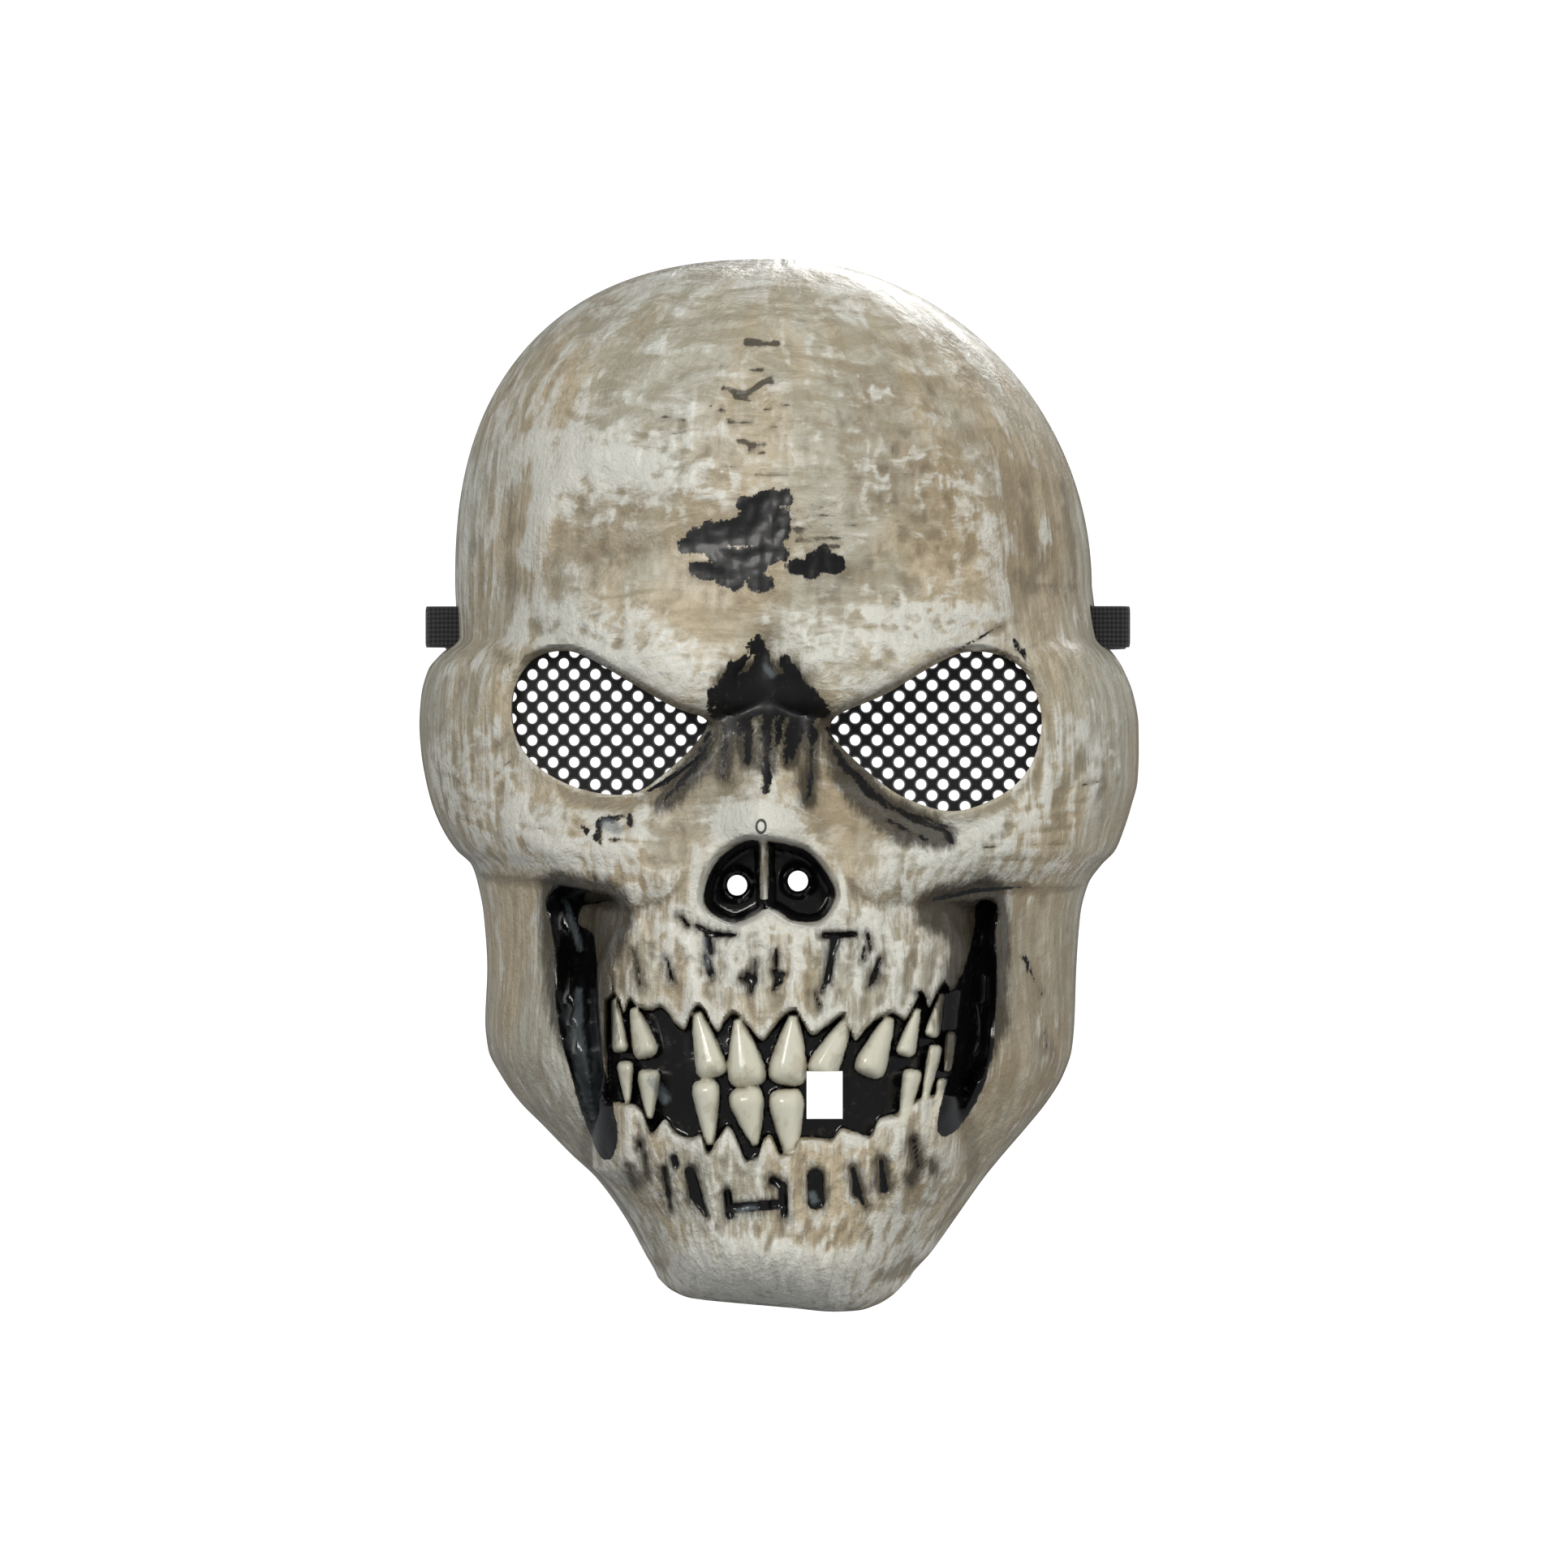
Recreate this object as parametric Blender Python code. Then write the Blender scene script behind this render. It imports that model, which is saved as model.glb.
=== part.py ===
"""Skull mask: a moulded plastic face with net behind the eyes and an elastic band round the head.

The mask faces -Y and stands upright, +Z up, with the eye line at Z = 0. Positions across are shares of
half the mask's width, positions up are shares of its height, and +X is the viewer's right.
"""
import math

import bmesh
import bpy
import numpy as np

# The mask as a whole
mask_width = 0.158
mask_height = 0.228
mask_depth = 0.083
wall = 0.0020
clearance = 0.0003
rim_back = 0.046

# The edge at the forehead and at the chin
crown_up = 0.4385
shoulder_up = 0.127
corner_up = 0.35
left_crown_power = 2.45
right_crown_power = 2.0
chin_corner_up = -0.531
chin_round = 0.014
chin_tuck = 0.62
side_turn = math.radians(84)

# Heights and depths of the relief
socket_depth = 0.0060
socket_rim = 0.0075
hollow_depth = 0.0110
hollow_edge = 0.0035
nose_depth = 0.0130
nose_edge = 0.0022
septum_drop = 0.0030
notch_depth = 0.0050
notch_edge = 0.0050
mouth_recess = 0.0045
tooth_rise = 0.0055
gum_edge = 0.0013
temple_dip = 0.0020
jaw_left = 0.0385
jaw_right = 0.0425
jaw_drop = 0.0300
jaw_power = 2.6

# Openings
vent_radius = 0.0022
slot_width = 0.0019
slot_height = 0.0152
slot_low = 0.0098
slot_from_rim = 0.0062

# Net behind the eyes
net_thickness = 0.0006
net_lap = 0.0032
net_gap = 0.0008
net_hole_radius = 0.0017
net_pitch = 0.0066
net_margin = 0.0004

# Elastic band
strap_width = 0.0090
strap_thickness = 0.0012
strap_up = 0.0202
strap_bulge = 0.0036
strap_tail = 0.0150
head_half_width = 0.0750
head_behind_rim = 0.0450
head_back = 0.1210

# Fineness of the faceted surfaces
columns = 50
middle_columns = 32
middle_share = 0.51

# The edge seen from the front: height, half width on the left, half width on the right
EDGE = [
    (-0.600, 0.262, 0.330),
    (-0.531, 0.311, 0.382),
    (-0.508, 0.349, 0.437),
    (-0.473, 0.411, 0.508),
    (-0.438, 0.491, 0.579),
    (-0.417, 0.559, 0.628),
    (-0.389, 0.642, 0.697),
    (-0.366, 0.710, 0.750),
    (-0.342, 0.761, 0.792),
    (-0.316, 0.799, 0.817),
    (-0.288, 0.808, 0.824),
    (-0.242, 0.804, 0.828),
    (-0.188, 0.815, 0.839),
    (-0.158, 0.832, 0.861),
    (-0.140, 0.850, 0.897),
    (-0.126, 0.892, 0.935),
    (-0.108, 0.928, 0.957),
    (-0.084, 0.959, 0.979),
    (-0.058, 0.979, 0.997),
    (-0.031, 0.992, 1.000),
    (-0.005, 0.997, 0.999),
    (0.022, 0.992, 0.986),
    (0.048, 0.972, 0.957),
    (0.062, 0.939, 0.932),
    (0.078, 0.892, 0.892),
    (0.127, 0.897, 0.870),
]

# The face from the side: height, how far forward its middle is, how far forward its rim is
PROFILE = [
    (-0.570, 0.960, 0.602),
    (-0.531, 0.976, 0.554),
    (-0.473, 0.982, 0.410),
    (-0.412, 0.988, 0.265),
    (-0.345, 0.994, 0.157),
    (-0.242, 0.964, 0.084),
    (-0.165, 0.940, 0.048),
    (-0.088, 0.916, 0.012),
    (0.000, 0.904, 0.000),
    (0.078, 0.904, 0.000),
    (0.142, 0.892, 0.012),
    (0.219, 0.867, 0.036),
    (0.296, 0.813, 0.084),
    (0.335, 0.765, 0.120),
    (0.373, 0.700, 0.180),
    (0.405, 0.610, 0.250),
    (0.425, 0.510, 0.310),
    (0.4385, 0.370, 0.370),
]

# The chin's lower edge: across, how far it hangs below the corners of the jaw
CHIN_EDGE = [
    (-0.311, 0.0000),
    (-0.269, 0.0115),
    (-0.215, 0.0185),
    (-0.084, 0.0230),
    (0.053, 0.0270),
    (0.186, 0.0310),
    (0.244, 0.0300),
    (0.293, 0.0250),
    (0.333, 0.0170),
    (0.382, 0.0000),
]

# Rows of the faceted surface: height at the band's upper end, number of rows in the band
ROW_BANDS = [
    (-0.470, 4),
    (-0.200, 26),
    (-0.090, 9),
    (0.100, 11),
    (0.300, 6),
    (0.350, 4),
]

# Outlines, as points across and up
EYE_LEFT = [
    (-0.710, 0.004), (-0.699, 0.033), (-0.648, 0.057), (-0.570, 0.064), (-0.499, 0.058),
    (-0.382, 0.035), (-0.260, 0.011), (-0.166, -0.002), (-0.189, -0.022), (-0.271, -0.050),
    (-0.366, -0.071), (-0.493, -0.069), (-0.615, -0.051), (-0.688, -0.025),
]
EYE_RIGHT = [
    (0.171, -0.008), (0.202, 0.005), (0.317, 0.022), (0.451, 0.050), (0.528, 0.062),
    (0.617, 0.061), (0.695, 0.045), (0.735, 0.015), (0.741, -0.013), (0.708, -0.048),
    (0.633, -0.073), (0.506, -0.088), (0.373, -0.075), (0.273, -0.050), (0.189, -0.022),
]
NOSE = [
    (-0.047, -0.114), (0.033, -0.116), (0.115, -0.125), (0.175, -0.150), (0.191, -0.170),
    (0.149, -0.192), (0.071, -0.193), (0.007, -0.182), (-0.084, -0.195), (-0.158, -0.184),
    (-0.175, -0.165), (-0.149, -0.139), (-0.100, -0.122),
]
HOLLOW_LEFT = [
    (-0.433, -0.171), (-0.515, -0.162), (-0.590, -0.158), (-0.617, -0.173), (-0.597, -0.212),
    (-0.582, -0.276), (-0.555, -0.312), (-0.519, -0.354), (-0.477, -0.388), (-0.435, -0.412),
    (-0.400, -0.388), (-0.400, -0.335), (-0.400, -0.276), (-0.400, -0.228), (-0.400, -0.196),
]
HOLLOW_RIGHT = [
    (0.440, -0.172), (0.539, -0.168), (0.610, -0.168), (0.633, -0.182), (0.613, -0.212),
    (0.615, -0.242), (0.619, -0.273), (0.608, -0.312), (0.579, -0.346), (0.539, -0.375),
    (0.486, -0.393), (0.440, -0.358), (0.440, -0.312), (0.440, -0.265), (0.440, -0.227),
    (0.440, -0.196),
]
NOTCH = [
    (-0.018, 0.075), (-0.149, 0.015), (-0.118, -0.002), (0.149, -0.004), (0.164, 0.010),
    (0.038, 0.065),
]

# Ridges, one row a point: across, up, reach above, reach below, height (the last three in metres)
BROW_LEFT = [
    (-0.659, 0.083, 0.012, 0.007, 0.0025),
    (-0.526, 0.090, 0.018, 0.008, 0.0045),
    (-0.371, 0.070, 0.022, 0.008, 0.0060),
    (-0.175, 0.035, 0.022, 0.008, 0.0055),
]
BROW_RIGHT = [
    (0.175, 0.035, 0.022, 0.008, 0.0055),
    (0.317, 0.060, 0.022, 0.008, 0.0060),
    (0.473, 0.088, 0.018, 0.008, 0.0045),
    (0.640, 0.092, 0.012, 0.007, 0.0025),
]
CHEEK_LEFT = [
    (-0.900, -0.070, 0.014, 0.012, 0.0010),
    (-0.770, -0.112, 0.014, 0.009, 0.0040),
    (-0.570, -0.123, 0.014, 0.008, 0.0070),
    (-0.371, -0.130, 0.014, 0.012, 0.0060),
]
CHEEK_RIGHT = [
    (0.371, -0.130, 0.014, 0.012, 0.0060),
    (0.562, -0.123, 0.014, 0.008, 0.0070),
    (0.784, -0.123, 0.014, 0.009, 0.0040),
    (0.930, -0.080, 0.014, 0.012, 0.0010),
]
NASAL = [
    (-0.004, -0.020, 0.008, 0.008, 0.0030),
    (-0.003, -0.060, 0.010, 0.010, 0.0060),
    (-0.002, -0.102, 0.014, 0.014, 0.0090),
]
NOSE_SIDES = [
    (-0.180, -0.140, 0.010, 0.010, 0.0030),
    (-0.210, -0.175, 0.010, 0.010, 0.0025),
]
CHIN = [
    (-0.160, -0.515, 0.012, 0.014, 0.0020),
    (0.180, -0.518, 0.012, 0.014, 0.0020),
]
SEPTUM = [
    (-0.013, -0.108, 0.0022, 0.0022, 1.0),
    (-0.002, -0.180, 0.0022, 0.0022, 1.0),
]

# Lower edge of the upper gum and upper edge of the lower gum: across, up
GUM_UPPER = [
    (-0.433, -0.265), (-0.391, -0.278), (-0.360, -0.268), (-0.295, -0.272), (-0.220, -0.291),
    (-0.180, -0.269), (-0.124, -0.294), (-0.088, -0.277), (-0.007, -0.303), (0.082, -0.275),
    (0.129, -0.297), (0.211, -0.278), (0.242, -0.300), (0.337, -0.278), (0.371, -0.285),
    (0.417, -0.262), (0.444, -0.272), (0.526, -0.240),
]
GUM_LOWER = [
    (-0.433, -0.388), (-0.380, -0.367), (-0.302, -0.390), (-0.244, -0.395), (-0.149, -0.405),
    (-0.100, -0.389), (-0.047, -0.412), (0.009, -0.398), (0.060, -0.410), (0.109, -0.394),
    (0.175, -0.398), (0.229, -0.388), (0.277, -0.396), (0.335, -0.377), (0.411, -0.365),
    (0.504, -0.354),
]

# Teeth: root across, root up, tip across, tip up, half width at the root, half width at the tip
TEETH = [
    (-0.420, -0.267, -0.397, -0.308, 0.009, 0.018),
    (-0.362, -0.272, -0.337, -0.307, 0.014, 0.031),
    (-0.180, -0.277, -0.158, -0.319, 0.018, 0.046),
    (-0.078, -0.285, -0.051, -0.325, 0.018, 0.050),
    (0.078, -0.282, 0.060, -0.322, 0.018, 0.050),
    (0.206, -0.285, 0.155, -0.321, 0.022, 0.042),
    (0.326, -0.285, 0.286, -0.321, 0.020, 0.040),
    (0.402, -0.278, 0.384, -0.307, 0.016, 0.024),
    (0.464, -0.262, 0.453, -0.292, 0.013, 0.017),
    (-0.402, -0.360, -0.384, -0.328, 0.014, 0.020),
    (-0.311, -0.380, -0.322, -0.345, 0.014, 0.030),
    (-0.151, -0.397, -0.158, -0.359, 0.020, 0.042),
    (-0.038, -0.398, -0.049, -0.365, 0.026, 0.048),
    (0.064, -0.402, 0.058, -0.364, 0.026, 0.048),
    (0.377, -0.370, 0.397, -0.336, 0.018, 0.027),
    (0.446, -0.350, 0.466, -0.312, 0.012, 0.017),
    (0.504, -0.330, 0.504, -0.302, 0.010, 0.019),
]

# Breathing holes in the nose: across, up, and the square hole between the teeth: two corners
VENTS = [(-0.084, -0.158), (0.082, -0.154)]
WINDOW = [(0.111, -0.333), (0.209, -0.378)]

LEFT = 1
RIGHT = 2


def smooth_step(low, high, value):
    """Rise from 0 at low to 1 at high, level at both ends."""
    t = np.clip((value - low) / (high - low), 0.0, 1.0)
    return t * t * (3.0 - 2.0 * t)


def read_table(table, column, at):
    """Read one column of a table at the given first-column values, on a curve that never overshoots."""
    rows = np.array(table)
    xs, ys = rows[:, 0], rows[:, column]
    steps = np.diff(xs)
    slopes = np.diff(ys) / steps
    tangents = np.empty_like(ys)
    tangents[0], tangents[-1] = slopes[0], slopes[-1]
    before, after = slopes[:-1], slopes[1:]
    same_way = before * after > 0
    total = np.where(same_way, before + after, 1.0)
    tangents[1:-1] = np.where(same_way, 2.0 * before * after / total, 0.0)
    at = np.clip(at, xs[0], xs[-1])
    i = np.clip(np.searchsorted(xs, at) - 1, 0, len(xs) - 2)
    h = steps[i]
    t = (at - xs[i]) / h
    rise = t * t * (3.0 - 2.0 * t)
    start = t * (1.0 - t) ** 2 * h * tangents[i]
    end = t * t * (t - 1.0) * h * tangents[i + 1]
    return ys[i] * (1.0 - rise) + ys[i + 1] * rise + start + end


def half_width(z, side):
    """Half width of the mask at a height, on the left or on the right."""
    up = z / mask_height
    power = left_crown_power if side == LEFT else right_crown_power
    table_width = read_table(EDGE, side, np.minimum(up, shoulder_up))
    rise = np.clip((up - shoulder_up) / (crown_up - shoulder_up), 0.0, 1.0)
    return table_width * (1.0 - rise ** power) ** (1.0 / power) * mask_width / 2


def crown_height(x):
    """Height of the forehead's edge above a point across."""
    heights = []
    for side, power in ((LEFT, left_crown_power), (RIGHT, right_crown_power)):
        shoulder = read_table(EDGE, side, np.array([shoulder_up]))[0] * mask_width / 2
        reach = np.clip(np.abs(x) / shoulder, 0.0, 1.0)
        heights.append(shoulder_up + (crown_up - shoulder_up) * (1.0 - reach ** power) ** (1.0 / power))
    return np.where(x < 0, heights[0], heights[1]) * mask_height


def chin_height(x):
    """Height of the chin's lower edge below a point across."""
    drop = read_table(CHIN_EDGE, 1, x / (mask_width / 2))
    return (chin_corner_up - drop) * mask_height


def bare_front(x, z):
    """How far forward the plain face stands, before its relief."""
    up = z / mask_height
    wide = np.where(x < 0, half_width(z, LEFT), half_width(z, RIGHT))
    share = np.clip(np.abs(x) / np.maximum(wide, 1e-6), 0.0, 1.0)
    turn = np.arcsin(share * math.sin(side_turn))
    bulge = (np.cos(turn) - math.cos(side_turn)) / (1.0 - math.cos(side_turn))
    near_edge = 1.0 - np.clip((z - chin_height(x)) / chin_round, 0.0, 1.0)
    tuck = 1.0 - chin_tuck * (1.0 - np.sqrt(1.0 - near_edge ** 2))
    middle = read_table(PROFILE, 1, up)
    rim = read_table(PROFILE, 2, up)
    return (rim + (middle - rim) * bulge * tuck) * mask_depth - rim_back


def outward(x, z):
    """Direction that the plain face points in, taken a little inside its edge."""
    x, z, step = 0.98 * x, 0.98 * z, 0.0003
    slope_x = (bare_front(x + step, z) - bare_front(x - step, z)) / (2.0 * step)
    slope_z = (bare_front(x, z + step) - bare_front(x, z - step)) / (2.0 * step)
    normal = -np.stack([slope_x, np.ones_like(x), slope_z], axis=-1)
    return normal / np.linalg.norm(normal, axis=-1, keepdims=True)


def closed_curve(points, steps=3):
    """Round a closed outline through its points, and give it in metres."""
    p = np.array(points) * (mask_width / 2, mask_height)
    before, after, second = np.roll(p, 1, 0), np.roll(p, -1, 0), np.roll(p, -2, 0)
    curve = []
    for i in range(len(p)):
        for k in range(steps):
            t = k / steps
            a = 2.0 * p[i]
            b = (after[i] - before[i]) * t
            c = (2.0 * before[i] - 5.0 * p[i] + 4.0 * after[i] - second[i]) * t ** 2
            d = (3.0 * p[i] - before[i] - 3.0 * after[i] + second[i]) * t ** 3
            curve.append((a + b + c + d) / 2.0)
    return np.array(curve)


def distance_outside(x, z, curve):
    """Distance from a closed curve, below zero inside it."""
    nearest = np.full(np.shape(x), np.inf)
    inside = np.zeros(np.shape(x), bool)
    for (ax, az), (bx, bz) in zip(curve, np.roll(curve, -1, 0)):
        ex, ez = bx - ax, bz - az
        t = np.clip(((x - ax) * ex + (z - az) * ez) / (ex * ex + ez * ez), 0.0, 1.0)
        nearest = np.minimum(nearest, np.hypot(x - ax - t * ex, z - az - t * ez))
        if ez != 0.0:
            crosses = (az > z) != (bz > z)
            inside ^= crosses & (x < ax + (z - az) / ez * ex)
    return np.where(inside, -nearest, nearest)


def ridge(x, z, rows):
    """Height of a rounded ridge along a line of points."""
    height = np.zeros(np.shape(x))
    for start, end in zip(rows[:-1], rows[1:]):
        ax, az = start[0] * mask_width / 2, start[1] * mask_height
        ex, ez = end[0] * mask_width / 2 - ax, end[1] * mask_height - az
        t = np.clip(((x - ax) * ex + (z - az) * ez) / (ex * ex + ez * ez), 0.0, 1.0)
        dx, dz = x - ax - t * ex, z - az - t * ez
        above = start[2] + (end[2] - start[2]) * t
        below = start[3] + (end[3] - start[3]) * t
        top = start[4] + (end[4] - start[4]) * t
        reach = np.where(dz > 0, above, below)
        height = np.maximum(height, top * (1.0 - smooth_step(0.0, 1.0, np.hypot(dx, dz) / reach)))
    return height


def tooth_share(x, z, tooth):
    """How much of a tooth's full height stands here: 0 outside it, 1 along its middle."""
    root_x, tip_x = tooth[0] * mask_width / 2, tooth[2] * mask_width / 2
    root_z, tip_z = tooth[1] * mask_height, tooth[3] * mask_height
    root_r, tip_r = tooth[4] * mask_width / 2, tooth[5] * mask_width / 2
    length = math.hypot(tip_x - root_x, tip_z - root_z)
    along_x, along_z = (tip_x - root_x) / length, (tip_z - root_z) / length
    along = (x - root_x) * along_x + (z - root_z) * along_z
    aside = np.abs((x - root_x) * along_z - (z - root_z) * along_x)
    taper = (root_r - tip_r) / length
    square = math.sqrt(1.0 - taper * taper)
    slant = -taper * aside + square * along
    outside = np.where(
        slant < 0,
        np.hypot(aside, along) - root_r,
        np.where(
            slant > square * length,
            np.hypot(aside, along - length) - tip_r,
            square * aside + taper * along - root_r,
        ),
    )
    inner = np.clip(-outside / tip_r, 0.0, 1.0)
    return np.sqrt(1.0 - (1.0 - inner) ** 2)


def socket_recess(x):
    """Depth of the eye sockets, shallower towards the temples."""
    share = np.abs(x) / (mask_width / 2)
    return socket_depth * (1.0 - 0.45 * smooth_step(0.35, 0.75, share))


def face_front(x, z):
    """How far forward the finished face stands, with all its relief."""
    bare = bare_front(x, z)
    across, up = x / (mask_width / 2), z / mask_height
    front = bare.copy()
    for rows in (BROW_LEFT, BROW_RIGHT, CHEEK_LEFT, CHEEK_RIGHT, NASAL):
        front += ridge(x, z, rows)
    front += ridge(x, z, NOSE_SIDES) + ridge(-x, z, NOSE_SIDES)
    front += ridge(x, z, CHIN) * smooth_step(0.0, chin_round, z - chin_height(x))
    temple = smooth_step(0.60, 0.75, np.abs(across)) * (1.0 - smooth_step(0.80, 0.93, np.abs(across)))
    front -= temple_dip * temple * smooth_step(0.08, 0.14, up) * (1.0 - smooth_step(0.20, 0.30, up))

    notch = distance_outside(x, z, closed_curve(NOTCH))
    front -= notch_depth * (1.0 - smooth_step(-notch_edge / 2, notch_edge / 2, notch))

    for outline in (HOLLOW_LEFT, HOLLOW_RIGHT):
        edge = distance_outside(x, z, closed_curve(outline))
        hollow = 1.0 - smooth_step(-hollow_edge, 0.0, edge)
        front += (bare - hollow_depth - front) * hollow

    reach = np.abs(x) / np.where(x < 0, jaw_left, jaw_right)
    middle = read_table(PROFILE, 1, up) * mask_depth - rim_back
    jaw = middle - jaw_drop * (1.0 - np.sqrt(np.maximum(1.0 - reach ** jaw_power, 0.0)))
    jaw = np.where(reach < 1.0, jaw, -rim_back)
    jaw_zone = smooth_step(-0.490, -0.450, up) * (1.0 - smooth_step(-0.185, -0.165, up))
    front += np.maximum(jaw - front, 0.0) * jaw_zone

    gum = read_table(GUM_UPPER, 1, across) * mask_height - z
    bed = z - read_table(GUM_LOWER, 1, across) * mask_height
    mouth = smooth_step(-gum_edge, gum_edge, gum) * smooth_step(-gum_edge, gum_edge, bed)
    mouth *= smooth_step(-0.450, -0.425, across) * (1.0 - smooth_step(0.520, 0.545, across))
    teeth = np.zeros(np.shape(x))
    for tooth in TEETH:
        teeth = np.maximum(teeth, tooth_share(x, z, tooth))
    front += (tooth_rise * teeth - mouth_recess) * mouth

    nose = distance_outside(x, z, closed_curve(NOSE))
    nose_share = 1.0 - smooth_step(-nose_edge, nose_edge / 2, nose)
    floor = bare - nose_depth + (nose_depth - septum_drop) * ridge(x, z, SEPTUM)
    front += (floor - front) * nose_share

    for outline in (EYE_LEFT, EYE_RIGHT):
        eye = distance_outside(x, z, closed_curve(outline))
        front += (bare - socket_recess(x) - front) * (1.0 - smooth_step(0.0, socket_rim, eye))

    wide = np.where(x < 0, half_width(z, LEFT), half_width(z, RIGHT))
    at_rim = smooth_step(0.93, 1.0, np.abs(x) / np.maximum(wide, 1e-6))
    return front + (bare - front) * at_rim


def grid_rows():
    """Heights of the surface's rows at the sides of the mask, from the chin's corners up."""
    rows = [chin_corner_up]
    for top, count in ROW_BANDS:
        rows.extend(np.linspace(rows[-1], top, count + 1)[1:])
    return np.array(rows) * mask_height


def grid_columns():
    """Places of the surface's columns, from -1 at the left rim to 1 at the right rim."""
    middle_turn = math.asin(middle_share * math.sin(side_turn))
    half_middle = middle_columns // 2
    half_all = columns // 2
    turns = np.concatenate([
        np.linspace(0.0, middle_turn, half_middle + 1),
        np.linspace(middle_turn, side_turn, half_all - half_middle + 1)[1:],
    ])
    shares = np.sin(turns) / math.sin(side_turn)
    return np.concatenate([-shares[:0:-1], shares])


def surface_grid():
    """Front view of the surface's grid: x and z of every row and column."""
    rows, shares = grid_rows(), grid_columns()
    left, right = half_width(rows, LEFT), half_width(rows, RIGHT)
    x = np.where(shares < 0, shares * left[:, None], shares * right[:, None])
    crown = crown_height(x[-1]) - rows[-1]
    crown[[0, -1]] = 0.0
    chin = chin_height(x[0]) - rows[0]
    chin[[0, -1]] = 0.0
    lift = np.clip((rows / mask_height - 0.100) / (corner_up - 0.100), 0.0, 1.0)
    sink = np.clip((-0.470 - rows / mask_height) / (-0.470 - chin_corner_up), 0.0, 1.0)
    z = rows[:, None] + lift[:, None] * crown + sink[:, None] * chin
    return x, z


def new_object(name, mesh, material, collection):
    """Put a mesh in the scene under a name, with its own material."""
    mesh.materials.clear()
    mesh.materials.append(material)
    obj = bpy.data.objects.new(name, mesh)
    collection.objects.link(obj)
    return obj


def new_material(name, color, roughness):
    """A plain material for one piece."""
    material = bpy.data.materials.new(name)
    material.use_nodes = True
    shader = material.node_tree.nodes["Principled BSDF"]
    shader.inputs["Base Color"].default_value = (*color, 1.0)
    shader.inputs["Roughness"].default_value = roughness
    return material


def shell_mesh():
    """The face as one closed wall: a fine outer surface, a coarser inner one and the rim between them."""
    x, z = surface_grid()
    bare, front = bare_front(x, z), face_front(x, z)
    outer = np.stack([x, -front, z], axis=-1)
    plain = np.stack([x, -bare, z], axis=-1)
    relief = front - bare
    padded = np.pad(relief, 1, mode="edge")
    rows, cols = relief.shape
    lowest = relief.copy()
    for i in range(3):
        for j in range(3):
            lowest = np.minimum(lowest, padded[i:i + rows, j:j + cols])
    inner = plain - outward(x, z) * wall
    inner[..., 1] -= lowest
    inner = inner[::2, ::2]

    bm = bmesh.new()
    front_points = [[bm.verts.new(p) for p in line] for line in outer]
    back_points = [[bm.verts.new(p) for p in line] for line in inner]
    for i in range(rows - 1):
        for j in range(cols - 1):
            a, b = front_points[i][j], front_points[i][j + 1]
            c, d = front_points[i + 1][j + 1], front_points[i + 1][j]
            bm.faces.new((a, b, c, d))
    for i in range(len(back_points) - 1):
        for j in range(len(back_points[0]) - 1):
            a, b = back_points[i][j], back_points[i][j + 1]
            c, d = back_points[i + 1][j + 1], back_points[i + 1][j]
            bm.faces.new((d, c, b, a))
    fine_edges = (front_points[0], [line[-1] for line in front_points],
                  front_points[-1][::-1], [line[0] for line in front_points][::-1])
    coarse_edges = (back_points[0], [line[-1] for line in back_points],
                    back_points[-1][::-1], [line[0] for line in back_points][::-1])
    for fine, coarse in zip(fine_edges, coarse_edges):
        for k in range(len(coarse) - 1):
            start, middle, end = fine[2 * k], fine[2 * k + 1], fine[2 * k + 2]
            bm.faces.new((middle, start, coarse[k]))
            bm.faces.new((middle, coarse[k], coarse[k + 1]))
            bm.faces.new((end, middle, coarse[k + 1]))
    bmesh.ops.triangulate(bm, faces=bm.faces)
    bmesh.ops.recalc_face_normals(bm, faces=bm.faces)
    mesh = bpy.data.meshes.new("mask_shell")
    bm.to_mesh(mesh)
    bm.free()
    mesh.shade_smooth()
    mesh.set_sharp_from_angle(angle=math.radians(50))
    return mesh


def prism(name, curve, near, far, collection):
    """A cutter with a front-view outline, from one depth to another."""
    bm = bmesh.new()
    face = bm.faces.new([bm.verts.new((px, near, pz)) for px, pz in curve])
    pulled = bmesh.ops.extrude_face_region(bm, geom=[face])["geom"]
    moved = [v for v in pulled if isinstance(v, bmesh.types.BMVert)]
    bmesh.ops.translate(bm, verts=moved, vec=(0.0, far - near, 0.0))
    bmesh.ops.recalc_face_normals(bm, faces=bm.faces)
    return cutter(name, bm, collection)


def block(name, low, high, collection):
    """A box cutter between two corners."""
    bm = bmesh.new()
    bmesh.ops.create_cube(bm, size=1.0)
    low, high = np.array(low), np.array(high)
    bmesh.ops.scale(bm, verts=bm.verts, vec=high - low)
    bmesh.ops.translate(bm, verts=bm.verts, vec=(low + high) / 2)
    return cutter(name, bm, collection)


def cutter(name, bm, collection):
    """Turn a cutter's shape into a hidden object."""
    mesh = bpy.data.meshes.new(name)
    bm.to_mesh(mesh)
    bm.free()
    obj = bpy.data.objects.new(name, mesh)
    collection.objects.link(obj)
    obj.hide_render = True
    obj.display_type = "WIRE"
    return obj


def circle(center, radius, sides):
    """Points round a circle in the front view."""
    angles = [2.0 * math.pi * (k + 0.5) / sides for k in range(sides)]
    return np.array([(center[0] + radius * math.cos(a), center[1] + radius * math.sin(a)) for a in angles])


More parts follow.
